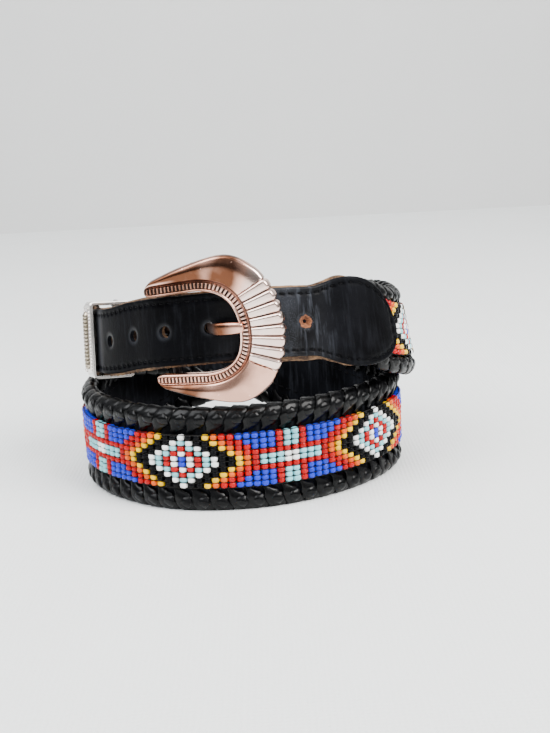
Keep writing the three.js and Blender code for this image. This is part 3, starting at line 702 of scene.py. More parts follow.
@dataclass(frozen=True)
class SmoothLeather:
    """Black smooth leather with fine grain, creases across the strap and rubbed edges, with painted sheen: a
    lighter ground and light flecks where the sheen attribute is high.
    """

    name: str
    dark: Color = (0.0012, 0.0012, 0.0016, 1)
    rubbed: Color = (0.012, 0.013, 0.017, 1)
    creased: Color = (0.075, 0.082, 0.1, 1)
    shine: float = 0.15
    grain_per_metre: float = 1500.0
    roughness: float = 0.36

    def make(self, effects: SharedEffects) -> bpy.types.Material:
        """Returns the material, which reads the strap's flat places and its wear."""
        bench = Bench(self.name)
        flat = bench.attribute("flat", "Vector")
        wear, sheen = bench.attribute("wear"), bench.attribute("sheen")
        creases = bench.noise(bench.stretched(flat, (1.0, 1.0, 0.13)), 560, 4, 0.6)
        worn_lines = bench.sum_of("MULTIPLY", bench.spread(creases, 0.5, 0.8, 0, 0.8), wear)
        smudges = bench.group(effects.handling, Place=flat, Scale=70.0)
        grain = bench.group(effects.grain, Place=flat, Scale=self.grain_per_metre)
        cloud = bench.spread(smudges.outputs["Smudges"], 0.35, 0.7)
        # Painted sheen: the rubbed colour shows in step with the sheen attribute
        base = bench.mix(bench.sum_of("MULTIPLY", cloud, sheen), self.dark, self.rubbed)
        # Painted sheen: light flecks of the crease colour where the sheen is high
        sheen_flecks = bench.spread(bench.noise(flat, 2600, 2), 0.52, 0.66, 0, 0.4)
        sheen_flecks = bench.sum_of("MULTIPLY", sheen_flecks, bench.spread(sheen, 0.8, 1.2))
        streaked = bench.mix(bench.sum_of("MAXIMUM", worn_lines, sheen_flecks), base, self.creased)
        level = bench.spread(sheen, 0, 1, 0.012, self.shine)
        bench.set_shader(Base_Color=streaked, IOR=1.5, Specular_IOR_Level=level)
        pores = bench.sum_of("MULTIPLY", grain.outputs["Pores"], 0.12)
        rough = bench.spread(cloud, 0, 1, self.roughness, self.roughness + 0.14)
        bench.set_shader(Roughness=bench.sum_of("ADD", pores, rough))
        bench.bump(grain.outputs["Height"], 0.00006, 0.7)
        bench.bump(worn_lines, 0.00012, 0.6)
        return bench.material


@dataclass(frozen=True)
class LaceLeather:
    """Soft black lace leather, shiny on its rounded edges."""

    name: str = "lace leather"
    dark: Color = (0.0005, 0.0005, 0.0006, 1)
    rubbed: Color = (0.002, 0.002, 0.0025, 1)

    def make(self, effects: SharedEffects) -> bpy.types.Material:
        """Returns the material, which reads the lace's own flat places."""
        bench = Bench(self.name)
        flat = bench.attribute("flat", "Vector")
        marks = bench.group(effects.handling, Place=flat, Scale=160.0)
        grain = bench.group(effects.grain, Place=flat, Scale=1300.0)
        cloud = bench.spread(marks.outputs["Smudges"], 0.38, 0.68, 0, 1)
        bench.set_shader(Base_Color=bench.mix(cloud, self.dark, self.rubbed), Specular_IOR_Level=0.09)
        bench.set_shader(Roughness=bench.spread(cloud, 0, 1, 0.28, 0.42))
        bench.set_shader(Coat_Roughness=0.09, Coat_Weight=bench.spread(cloud, 0, 1, 0.2, 0.02))
        bench.bump(grain.outputs["Height"], 0.00007, 0.6)
        return bench.material


@dataclass(frozen=True)
class RawLeather:
    """Undyed brown leather, with a fibrous flesh side and stained edges."""

    name: str = "raw leather"
    dark: Color = (0.04, 0.018, 0.009, 1)
    light: Color = (0.36, 0.2, 0.095, 1)

    def make(self, effects: SharedEffects) -> bpy.types.Material:
        """Returns the material, which reads the lining's flat places."""
        bench = Bench(self.name)
        flat = bench.attribute("flat", "Vector")
        fibres = bench.noise(bench.stretched(flat, (1.0, 2.5, 3.0)), 900, 5, 0.7)
        patches = bench.spread(bench.noise(flat, 130, 3), 0.4, 0.66, -0.25, 0.4)
        both = bench.sum_of("ADD", bench.spread(fibres, 0.35, 0.68, 0, 0.65), patches)
        grain = bench.group(effects.grain, Place=flat, Scale=2200.0)
        bench.set_shader(Base_Color=bench.mix(both, self.dark, self.light))
        bench.set_shader(Roughness=bench.spread(fibres, 0.3, 0.7, 0.95, 0.7))
        bench.bump(fibres, 0.00035, 0.9)
        bench.bump(grain.outputs["Height"], 0.00012, 0.5)
        return bench.material


@dataclass(frozen=True)
class BeadGlass:
    """Opaque glossy glass, whose colour each bead carries."""

    name: str = "bead glass"

    def make(self, effects: SharedEffects) -> bpy.types.Material:
        """Returns the material, which reads each bead's colour."""
        bench = Bench(self.name)
        tint = bench.attribute("bead_colour", "Color")
        marks = bench.group(effects.handling, Place=bench.own_place(), Scale=900.0).outputs["Smudges"]
        shaded = bench.mix(1.0, tint, bench.spread(marks, 0.3, 0.7, 0.82, 1.08), "MULTIPLY")
        bench.set_shader(Base_Color=shaded, Roughness=bench.spread(marks, 0.35, 0.65, 0.1, 0.22))
        paleness = bench.attribute("bead_colour")
        bench.set_shader(Specular_IOR_Level=bench.spread(paleness, 0, 0.15, 0.05, 0.18))
        bench.set_shader(Coat_Weight=0.07, Coat_Roughness=0.05)
        return bench.material


@dataclass(frozen=True)
class WaxedThread:
    """Dark waxed thread with a twist."""

    name: str
    dark: Color
    light: Color
    twist_per_metre: float = 1700.0

    def make(self, effects: SharedEffects) -> bpy.types.Material:
        """Returns the material, which reads the thread's flat places."""
        bench = Bench(self.name)
        flat = bench.attribute("flat", "Vector")
        twist = bench.bands(flat, "DIAGONAL", Scale=self.twist_per_metre, Distortion=1.5)
        marks = bench.group(effects.handling, Place=flat, Scale=500.0).outputs["Smudges"]
        bench.set_shader(Base_Color=bench.mix(twist, self.dark, self.light), Specular_IOR_Level=0.03)
        bench.set_shader(Roughness=bench.spread(marks, 0.3, 0.7, 0.4, 0.6))
        bench.bump(twist, 0.00008, 0.6)
        return bench.material


@dataclass(frozen=True)
class CastMetal:
    """Polished cast metal, dark where polish doesn't reach, with smudges and fine scratches, and with
    reflections and shade painted into its colour from pale to brown.
    """

    name: str
    # pale, warm and brown are mixed by the tone attribute, which holds painted highlights, painted
    # reflections and painted shade along with the metal's tone
    pale: Color
    warm: Color
    brown: Color
    tarnish: Color
    roughness: float
    pitted: float = 0.4

    def make(self, effects: SharedEffects) -> bpy.types.Material:
        """Returns the material, which reads how deep each place lies in a recess."""
        bench = Bench(self.name)
        place = bench.own_place()
        recess = bench.attribute("recess")
        marks = bench.group(effects.handling, Place=place, Scale=110.0)
        speckle = bench.noise(place, 1800, 3, 0.6)
        pits = bench.spread(speckle, 0.69, 0.78, 0, self.pitted)
        cloud = bench.spread(marks.outputs["Smudges"], 0.38, 0.66)
        # Painted light: the tone attribute turns the colour pale for painted highlights and brown for painted
        # reflections and shade
        tone = bench.sum_of("ADD", bench.attribute("tone"), bench.spread(cloud, 0, 1, -0.06, 0.08))
        toned_with_painted_light = bench.mix(bench.spread(tone, 0, 0.5), self.pale, self.warm)
        toned_with_painted_light = bench.mix(bench.spread(tone, 0.5, 1), toned_with_painted_light, self.brown)
        # Recesses and pits go dark: tarnish in the casting's hollows, and painted shade on the prong by its
        # hole
        tarnish_and_painted_shade = bench.sum_of("MAXIMUM", recess, pits)
        bench.set_shader(Base_Color=bench.mix(tarnish_and_painted_shade, toned_with_painted_light, self.tarnish))
        bench.set_shader(Metallic=bench.spread(recess, 0.3, 1, 1, 0.55))
        rough = bench.spread(cloud, 0, 1, self.roughness, self.roughness + 0.08)
        bench.set_shader(Roughness=bench.sum_of("ADD", rough, bench.spread(recess, 0, 1, 0, 0.35)))
        bench.bump(speckle, 0.00003, 0.35)
        bench.bump(marks.outputs["Scratches"], 0.00002, 0.3)
        return bench.material


@dataclass(frozen=True)
class PaleCanvas:
    """A pale woven floor covering, darker where the coil keeps the light off it."""

    name: str = "pale canvas"
    tint: Color = (0.84, 0.855, 0.845, 1)
    shaded: tuple[float, float] = (0.03, 0.05)

    def make(self, effects: SharedEffects) -> bpy.types.Material:
        """Returns the material, woven by Object coordinates."""
        bench = Bench(self.name)
        place = bench.own_place()
        waves = {"Scale": 190.0, "Distortion": 2.0, "Detail_Scale": 3.0}
        weave = bench.sum_of("MAXIMUM", *(bench.bands(place, way, **waves) for way in "XY"))
        marks = bench.group(effects.handling, Place=place, Scale=9.0)
        darker = (self.tint[0] * 0.95, self.tint[1] * 0.95, self.tint[2] * 0.955, 1)
        middle = bench.node("ShaderNodeVectorMath", operation="LENGTH")
        bench.feed(middle.inputs[0], place)
        shade = bench.spread(middle.outputs["Value"], *self.shaded, 0.3, 1)
        tinted = bench.mix(marks.outputs["Smudges"], self.tint, darker)
        bench.set_shader(Base_Color=bench.mix(1.0, tinted, shade, "MULTIPLY"), Roughness=0.9)
        bench.bump(weave, 0.00025, 0.5)
        return bench.material


class Finishes:
    """All the belt's materials, made once."""

    def __init__(self) -> None:
        effects = SharedEffects()
        self.strap = SmoothLeather("strap leather").make(effects)
        self.core = SmoothLeather("core leather", roughness=0.55, shine=0.05).make(effects)
        self.lace = LaceLeather().make(effects)
        self.raw = RawLeather().make(effects)
        self.worn_raw = RawLeather(
            "worn hole edge", (0.03, 0.008, 0.003, 1), (0.5, 0.17, 0.06, 1)
        ).make(effects)
        self.beads = BeadGlass().make(effects)
        self.stitch = WaxedThread(
            "stitch thread", (0.001, 0.001, 0.001, 1), (0.008, 0.008, 0.009, 1)
        ).make(effects)
        self.warp = WaxedThread(
            "warp thread", (0.004, 0.004, 0.004, 1), (0.03, 0.028, 0.026, 1)
        ).make(effects)
        # The pale colours of copper and plating serve as painted highlights and reflections, and the browns
        # as painted reflections and painted shade
        self.copper = CastMetal(
            "copper casting", (1.0, 0.81, 0.73, 1), (0.82, 0.46, 0.34, 1), (0.13, 0.05, 0.026, 1),
            (0.012, 0.007, 0.006, 1), 0.16,
        ).make(effects)
        self.silver = CastMetal(
            "worn plating", (1.0, 0.96, 0.92, 1), (0.7, 0.6, 0.54, 1), (0.26, 0.22, 0.12, 1),
            (0.03, 0.022, 0.016, 1), 0.2, 0.1,
        ).make(effects)
        self.canvas = PaleCanvas().make(effects)
        self.wall = PaleCanvas("pale wall", (0.68, 0.68, 0.67, 1)).make(effects)


# The beads

class BeadColour(Enum):
    """The strip's seed bead colours, by the letter that the chart gives them."""

    K = (0.0015, 0.0015, 0.002)
    W = (0.95, 0.95, 0.93)
    L = (0.24, 0.6, 0.66)
    B = (0.014, 0.032, 0.52)
    R = (0.4, 0.0, 0.002)
    O = (0.66, 0.09, 0.0)
    Y = (0.82, 0.48, 0.0)


# The strip's chart: the upper five rows from the diamond's middle to the cross's middle
CHART = (
    "WKKYORRBBBBBRL",
    "LWKKYORRBBBBRL",
    "RLWKKYORRBBBRL",
    "WRLWKKYORRRRRR",
    "BWRLWKKYORLLLW",
)


@dataclass
class BeadStrip:
    """The loomed strip: seed beads in ten rows, and the warp threads between the rows."""

    column_pitch: float = BEAD_COLUMN
    row_pitch: float = BEAD_ROW
    rows: int = BEAD_ROWS
    end_gap: float = 1.6
    bead_radius: float = 1.5
    bead_length: float = 1.92
    middle_out: float = 2.95
    thread_radius: float = 0.2
    chart_middle: float = 0.0
    seed: int = 11
    sides: int = 10
    ground_column: int = 9
    extra_columns: tuple[int, ...] = (0, 2, 3, 3, 4, 4, 2)

    def __post_init__(self) -> None:
        self.places = self.uneven_places()

    def bead(self) -> Piece:
        """Returns one seed bead, turned from a short rod with its axis along the belt's width."""
        upper = ((0.34, 0.4), (0.7, 0.5), (0.93, 0.37))
        profile = (*upper, (1.0, 0.0), *((radius, -height) for radius, height in upper[::-1]))
        turn = circle(self.sides)
        rings = [rows_of(radius * np.cos(turn), radius * np.sin(turn), height) for radius, height in profile]
        return loft("seed bead", np.array(rings))

    def columns(self) -> Array:
        """Returns each column's number, counted from a diamond's middle at the front."""
        start = math.ceil((self.chart_middle - ROUTE.body_end + self.end_gap) / self.column_pitch)
        end = math.floor((self.chart_middle - ROUTE.body_start - self.end_gap) / self.column_pitch)
        return np.arange(start, end + 1)

    @staticmethod
    def even_place(column: int) -> int:
        """Returns the chart's column, where each half repeat has the chart's width."""
        period = 2 * len(CHART[0]) - 1
        place = column % period
        return min(place, period - place)

    def uneven_places(self) -> list[int]:
        """Returns the chart's column for each column to the left of the front diamond.

        The half repeats round the back have their plain ground a little wider.
        """
        there = list(range(len(CHART[0])))
        places = [0]
        for half in range(16):
            extra = self.extra_columns[half] if half < len(self.extra_columns) else 0
            run = there[: self.ground_column] + [self.ground_column] * extra + there[self.ground_column:]
            places += run[1:] if half % 2 == 0 else run[::-1]
        return places

    def chart_colour(self, column: int, row: int) -> tuple[float, float, float]:
        """Returns the bead's colour, from the chart that is mirrored both ways.

        Args:
            column: columns from the diamond's middle.
            row: rows from the top.

        Returns:
            The colour as red, green and blue.
        """
        place = self.places[abs(column)] if column < 0 else self.even_place(column)
        level = row if row < len(CHART) else self.rows - 1 - row
        return BeadColour[CHART[level][place]].value

    def make(self, finishes: Finishes) -> None:
        """Builds and dresses the beads and their threads."""
        rng = np.random.default_rng(self.seed)
        columns = self.columns()
        groups = np.array_split(columns, 3)
        for number, group in enumerate(groups):
            self.make_beads(f"bead_strip_{number + 1}", group, rng, finishes)
        self.make_threads(finishes)

    def make_beads(self, name: str, columns: Array, rng: np.random.Generator, finishes: Finishes) -> None:
        """Builds the beads of some columns as one piece.

        Args:
            name: the piece's name.
            columns: the columns' numbers.
            rng: the seeded source of small differences.
            finishes: the materials.
        """
        column, row = (part.ravel() for part in np.meshgrid(columns, np.arange(self.rows), indexing="ij"))
        count = len(column)
        length = self.chart_middle - column * self.column_pitch + rng.normal(0, 0.05, count)
        across = ((self.rows - 1) / 2 - row) * self.row_pitch + rng.normal(0, 0.06, count)
        out = self.middle_out + rng.normal(0, 0.07, count)
        point, along, outward, upward = ROUTE.frames(length)
        upward = unit(upward)
        tilt = rng.normal(0, 0.05, (count, 2))
        size = 1 + rng.normal(0, 0.035, (count, 3))
        lift = unit(upward + along * tilt[:, :1] + outward * tilt[:, 1:])
        ahead = unit(along - lift * np.sum(along * lift, axis=1, keepdims=True))
        places = ROUTE.wrap(rows_of(length, out, across))
        radius = self.bead_radius * MM
        moves = move_matrices(
            places,
            ahead * radius * size[:, :1],
            np.cross(lift, ahead) * radius * size[:, 1:2],
            lift * self.bead_length * MM * size[:, 2:],
        )
        tints = np.array([self.chart_colour(int(c), int(r)) for c, r in zip(column, row)])
        tints = np.clip(tints * (1 + rng.normal(0, 0.07, (count, 1))), 0, 1)
        pattern = self.bead()
        corners = len(pattern.data.vertices)
        piece = copies(name, pattern, moves)
        tints = np.concatenate([tints, np.ones((count, 1))], axis=1)
        note(piece, "bead_colour", np.repeat(tints, corners, axis=0))
        smooth(piece, 60)
        hand_over(piece, "beads", finishes.beads, "bead_band")

    def make_threads(self, finishes: Finishes) -> None:
        """Builds the warp threads that run between the rows."""
        sides, step, end_gap, lift = 5, 2.4, 0.5, 0.75
        steps = int((ROUTE.body_end - ROUTE.body_start) / step)
        lengths = np.linspace(ROUTE.body_start + end_gap, ROUTE.body_end - end_gap, steps)
        turn = circle(sides)
        parts = []
        for line in range(self.rows + 1):
            across = (line - self.rows / 2) * self.row_pitch
            out = self.middle_out + lift + self.thread_radius * np.cos(turn)
            rings = rows_of(lengths[:, None], out, across + self.thread_radius * np.sin(turn))
            parts.append(loft(f"warp {line}", rings))
        piece = joined("warp_threads", parts)
        lay_flat_piece(piece, 80)
        hand_over(piece, "strap_leather", finishes.warp, "bead_band")


def joined(name: str, parts: list[Piece]) -> Piece:
    """Joins several shapes in one piece."""
    deselect()
    for part in parts:
        part.select_set(True)
    bpy.context.view_layer.objects.active = parts[0]
    bpy.ops.object.join()
    piece = bpy.context.object
    piece.name = name
    piece.data.name = name
    return piece


# The leather

def strap_rings(lengths: Array, outs: Array, halves: Array, thickness: float, divisions: int = 26) -> Array:
    """Draws a strap's rounded section at each place along it, in the flat pattern.

    Args:
        lengths: distances along the belt.
        outs: heights of the strap's middle.
        halves: half widths.
        thickness: the leather's thickness.
        divisions: how many faces cover the strap's width.

    Returns:
        One closed ring of flat places for each length.
    """
    edge = np.linspace(-1, 1, divisions + 1)
    edge = np.sign(edge) * (1 - (1 - np.abs(edge)) ** 1.25)
    round_off = np.clip((np.abs(edge) - 0.94) / 0.06, 0, 1)
    depth = np.sqrt(1 - 0.86 * round_off**2)
    face = rows_of(depth, edge)
    back = rows_of(-depth[::-1], edge[::-1])
    section = np.concatenate([face, back])
    depths = outs[:, None] + section[:, 0] * thickness / 2
    return rows_of(lengths[:, None], depths, section[:, 1] * halves[:, None])


@dataclass
class StrapShape:
    """An end strap in the flat: its rounded point, its flare and how it steps down from the beads."""

    overlay_width: float = 33.0
    overlay_length: float = 36.0
    overlay_point: float = 20.0
    overlay_step: float = 16.0

    def half(self, from_point: Array) -> Array:
        """Returns half the strap's width at distances from its point."""
        wide, narrow = self.overlay_width / 2, BILLET_WIDTH / 2
        share = np.clip(1 - from_point / self.overlay_point, 0, 1)
        rounded = np.maximum(wide * np.sqrt(1 - share**2), 0.6)
        flare = smoothstep(from_point, self.overlay_point, self.overlay_length)
        return np.where(from_point < self.overlay_point, rounded, wide + (narrow - wide) * flare)

    def out(self, from_point: Array) -> Array:
        """Returns the height of the strap's middle at distances from its point."""
        on_beads = BAND_FRONT + LAYER_GAP + BILLET_THICKNESS / 2
        step = smoothstep(from_point, OVERLAY_SEAT, OVERLAY_SEAT + self.overlay_step)
        return on_beads + (FACE_MIDDLE - on_beads) * step

    def stations(self, total: float, pitch: float = 0.62) -> Array:
        """Returns distances from the point, closer together where it is round."""
        turn = np.linspace(0, math.pi / 2, 26)
        rounded = self.overlay_point * (1 - np.cos(turn))
        rest = np.linspace(self.overlay_point, total, int((total - self.overlay_point) / pitch))
        return np.concatenate([rounded, rest[1:]])

    def stitch_places(self, point: float, ahead: int, from_point: Array, pitch: float) -> tuple[Array, Array]:
        """Spaces stitches along one edge, round the strap's point and along its other edge.

        Args:
            point: the point's distance along the belt.
            ahead: 1 where the strap runs on along the belt from its point, or -1 where it runs back.
            from_point: distances from the point, as far as the stitches go.
            pitch: the spacing wanted.

        Returns:
            The stitches' flat places on the strap's face, and their headings.
        """
        kept = from_point[from_point > STITCH_INSET]
        inset = np.maximum(self.half(kept) - STITCH_INSET, 0)
        lengths = point + ahead * np.concatenate([kept[::-1], kept])
        length, across, heading = line_marks(lengths, np.concatenate([-inset[::-1], inset]), pitch)
        face = np.interp(ahead * (length - point), from_point, self.out(from_point)) + BILLET_THICKNESS / 2
        return rows_of(length, face, across), heading


SHAPE = StrapShape()


def stitch_row(name: str, places: Array, headings: Array, size: Spot) -> Piece:
    """Lays stitches in the flat pattern.

    Args:
        name: the piece's name.
        places: flat places of the stitches' middles.
        headings: angle of each stitch from the belt's length, in radians.
        size: half the length, thickness and width of a stitch.

    Returns:
        The stitches as one flat piece.
    """
    ahead = rows_of(np.cos(headings), 0, np.sin(headings))
    side = np.cross(ahead, OUTWARD)
    moves = move_matrices(places, ahead * size[0], side * size[2], OUTWARD * size[1])
    return copies(name, ball(8, 6), moves)


def dent_shares(flat: Array, places: Array, headings: Array, middle: Array) -> Array:
    """Finds how deep a strap's face is sunk under its stitches.

    Args:
        flat: the strap's flat points.
        places: flat places of the stitches' middles.
        headings: the stitches' angles.
        middle: the height of the strap's middle at each point.

    Returns:
        From 0 where the face is level to 1 in the middle of a dent.
    """
    reach, half_length, half_width = 2.4, 1.25, 0.6
    shares = np.zeros(len(flat))
    for place, heading in zip(places, headings):
        away_along, away_across = flat[:, 0] - place[0], flat[:, 2] - place[2]
        near = np.flatnonzero((np.abs(away_along) < reach) & (np.abs(away_across) < reach))
        ahead = away_along[near] * math.cos(heading) + away_across[near] * math.sin(heading)
        aside = away_across[near] * math.cos(heading) - away_along[near] * math.sin(heading)
        share = bell(ahead, 0, half_length, 4) * bell(aside, 0, half_width)
        shares[near] = np.maximum(shares[near], share)
    return shares * (flat[:, 1] > middle)


def line_marks(lengths: Array, acrosses: Array, pitch: float) -> tuple[Array, Array, Array]:
    """Spaces marks evenly along a line in the flat.

    Args:
        lengths: the line's distances along the belt.
        acrosses: its distances across the width.
        pitch: the spacing wanted.

    Returns:
        The marks' lengths, their places across, and the line's heading at each.
    """
    step = 0.3
    line = rows_of(lengths, acrosses)
    run = run_along(line)
    count = int(run[-1] / pitch)
    at = (np.arange(count) + 0.5) * run[-1] / count
    here, ahead, behind = (
        [np.interp(at + shift, run, column) for column in line.T] for shift in (0, step, -step)
    )
    return *here, np.arctan2(ahead[1] - behind[1], ahead[0] - behind[0])


@dataclass
class TipStrap:
    """The hole-end strap: leather with punched holes, its brown lining and its stitching."""

    hole_diameter: float = 4.6
    hole_spacing: float = 17.5
    holes: int = 4
    extra_hole: float = 34.8
    extra_drop: float = 0.0
    stitch_pitch: float = 3.4
    stitch_turn: float = 0.12
    stitch_end: float = 10.0
    stitch_depth: float = 0.5
    stitch_size: Spot = (1.0, 0.26, 0.3)
    sheen_end: tuple[float, float] = (49.0, 58.0)
    fray: float = 1.3
    lining_overhang: float = 0.55
    seed: int = 5

    def __post_init__(self) -> None:
        self.point = ROUTE.length_at(OVERLAY_POINT_AT)
        self.end = ROUTE.length_at(TONGUE_END_AT)
        self.prong_hole = ROUTE.length_at(PRONG_HOLE_AT)

    def hole_places(self) -> list[tuple[float, float]]:
        """Returns each hole's distance along the belt and across it, the extra hole first."""
        spaced = [(self.prong_hole + hole * self.hole_spacing, 0.0) for hole in range(self.holes)]
        return [(self.prong_hole - self.extra_hole, -self.extra_drop), *spaced]

    def pierce(self, piece: Piece) -> None:
        """Punches the holes through a flat piece."""
        for length, across in self.hole_places():
            deselect()
            bpy.ops.mesh.primitive_cylinder_add(
                vertices=28, radius=self.hole_diameter / 2, depth=20, location=(length, 0, across),
                rotation=(math.pi / 2, 0, 0),
            )
            cut(piece, bpy.context.object)

    def hole_distance(self, flat: Array) -> Array:
        """Returns the distance of flat places from the nearest hole's middle."""
        gaps = [np.hypot(flat[:, 0] - length, flat[:, 2] - across) for length, across in self.hole_places()]
        return np.min(gaps, axis=0)

    def sheen(self, along: Array) -> Array:
        """Returns how glossy the face is at distances from the point: its ground as handling left it, a
        painted reflection where the strap bends by the keeper and painted light near the prong hole, which
        all lighten its colour as painted sheen.
        """
        keeper = ROUTE.length_at(KEEPER_AT) - self.point
        hole = self.prong_hole - self.point
        ground = 0.25 + 0.45 * smoothstep(along, 24, 34) + 0.6 * smoothstep(along, 39, 44)
        ground = 0.1 + (ground - 0.1) * (1 - smoothstep(along, *self.sheen_end))
        hole_side_painted_light = 0.35 * bell(along, hole - 6, 5)
        keeper_bend_painted_reflection = 1.1 * bell(along, keeper - 9.5, 2.6)
        return ground + hole_side_painted_light + keeper_bend_painted_reflection

    def make(self, finishes: Finishes) -> None:
        """Builds and dresses the strap, its lining, rims and stitches."""
        total = self.end - self.point
        from_point = SHAPE.stations(total)
        halves, outs = SHAPE.half(from_point), SHAPE.out(from_point)
        strap = loft("hole_strap", strap_rings(self.point + from_point, outs, halves, BILLET_THICKNESS, 48))
        stitched = from_point[from_point < total - self.stitch_end]
        places, headings = SHAPE.stitch_places(self.point, 1, stitched, self.stitch_pitch)
        headings = headings + self.stitch_turn
        flat = spots_of(strap)
        middle = np.interp(flat[:, 0] - self.point, from_point, outs)
        flat[:, 1] -= self.stitch_depth * dent_shares(flat, places, headings, middle)
        move_spots(strap, flat)
        self.pierce(strap)
        flat = spots_of(strap)
        face = np.interp(flat[:, 0] - self.point, from_point, outs)
        dent = bell(self.hole_distance(flat), self.hole_diameter / 2, 0.9)
        flat[:, 1] -= dent * 0.35 * (flat[:, 1] > face)
        move_spots(strap, flat)
        along = flat[:, 0] - self.point
        note(strap, "wear", bell(along, 36, 7) + 0.1)
        # Painted highlight on the hole rims, where the sheen is raised, and painted shade in the stitch
        # dents, where it is taken away
        sunk = np.clip(1.3 * dent_shares(flat, places, headings, face), 0, 1)
        note(strap, "sheen", (self.sheen(along) + 0.9 * dent) * (1 - sunk))
        lay_flat_piece(strap)
        hand_over(strap, "strap_leather", finishes.strap, "tip_billet")
        self.make_lining(from_point, halves, finishes)
        self.make_stitches(places, headings, finishes)
        self.make_rims(finishes)

    def make_lining(self, from_point: Array, halves: Array, finishes: Finishes) -> None:
        """Builds the brown lining, whose rough edges show past the strap's."""
        rng = np.random.default_rng(self.seed)
        start = ROUTE.body_end + GAP + 1 - self.point
        kept = from_point > start
        lengths = self.point + from_point[kept]
        rough = np.convolve(rng.normal(0, 1, len(lengths) + 4), np.ones(5) / 5, "valid")
        half = halves[kept] + self.lining_overhang + rough * 0.14
        along = from_point[kept]
        frayed = self.fray * smoothstep(along, 29, 38) * (1 - 0.75 * smoothstep(along, 54, 60))
        frayed += 0.4 * np.abs(rough) - 0.5 * (1 - smoothstep(along, 24, 30))
        middle = LINING_OUTER - LINING_THICKNESS / 2 + 0.1
        rings = strap_rings(lengths, np.full(len(lengths), middle), half, LINING_THICKNESS + 0.2, 22)
        lower = np.clip(-rings[:, :, 2] / half[:, None], 0, 1) ** 3
        rings[:, :, 2] -= lower * frayed[:, None]
        piece = loft("hole_strap_lining", rings)
        self.pierce(piece)
        lay_flat_piece(piece)
        hand_over(piece, "brown_leather", finishes.raw, "tip_billet_lining")

    def make_stitches(self, places: Array, headings: Array, finishes: Finishes) -> None:
        """Builds the stitches that follow the strap's rim all round its point."""
        sunk = places - (0, self.stitch_depth - 0.08, 0)
        piece = stitch_row("hole_strap_stitches", sunk, headings, self.stitch_size)
        lay_flat_piece(piece, 80)
        hand_over(piece, "strap_leather", finishes.stitch)

    def make_rims(self, finishes: Finishes) -> None:
        """Builds the raw leather that shows round the extra hole."""
        length, across = self.hole_places()[0]
        turn = circle(40)
        fray = 1 + 0.05 * np.sin(turn * 5) + 0.05 * np.sin(turn * 8 + 1) + 0.03 * np.sin(turn * 17)
        radius = self.hole_diameter / 2 * fray
        face = FACE_OUTER - 0.38
        ahead, aside = radius * np.cos(turn), radius * np.sin(turn)
        profile = ((0.3, -1.3), (0.5, -0.75), (0.74, -0.25), (0.93, 0.15), (1.04, 0.12), (1.02, -1.4))
        rings = [
            rows_of(length + reach * ahead, face + height, across + reach * aside)
            for reach, height in profile
        ]
        piece = loft("extra_hole_rim", np.array(rings), joined=True)
        flat = spots_of(piece)
        outs = SHAPE.out(flat[:, 0] - self.point) - FACE_MIDDLE
        move_spots(piece, flat + outs[:, None] * OUTWARD)
        lay_flat_piece(piece, 60)
        hand_over(piece, "brown_leather", finishes.worn_raw)


@dataclass
class CoreStrap:
    """The laced body's core leather, with the stitches of its lining on the inside."""

    taper: float = 80.0
    end_share: float = 0.78
    stitch_pitch: float = 3.6
    stitch_inset: float = 8.2
    stitch_size: Spot = (1.3, 0.3, 0.35)

    def share(self, length: Array) -> Array:
        """Returns the share of its width that the body keeps near its ends."""
        from_end = np.minimum(length - ROUTE.body_start, ROUTE.body_end - length)
        return self.end_share + (1 - self.end_share) * smoothstep(from_end, 0, self.taper)

    def make(self, finishes: Finishes) -> None:
        """Builds and dresses the core and the stitches of its lining."""
        count = int((ROUTE.body_end - ROUTE.body_start) / 2.2)
        lengths = np.linspace(ROUTE.body_start, ROUTE.body_end, count)
        halves = CORE_HALF * self.share(lengths)
        core = loft("core_strap", strap_rings(lengths, np.zeros(count), halves, CORE_THICKNESS, 12))
        note_even(core, wear=0.25, sheen=0.5)
        lay_flat_piece(core)
        hand_over(core, "strap_leather", finishes.core, "belt_strap")
        rows = [
            line_marks(lengths[4:-4], side * (halves[4:-4] - self.stitch_inset), self.stitch_pitch)
            for side in (-1, 1)
        ]
        length, across, headings = (np.concatenate(part) for part in zip(*rows))
        places = rows_of(length, -CORE_THICKNESS / 2 - 0.02, across)
        stitches = stitch_row("lining_stitches", places, headings, self.stitch_size)
        lay_flat_piece(stitches, 80)
        hand_over(stitches, "strap_leather", finishes.stitch)


class Edge(Enum):
    """The body's two long edges."""

    UPPER = 1
    LOWER = -1


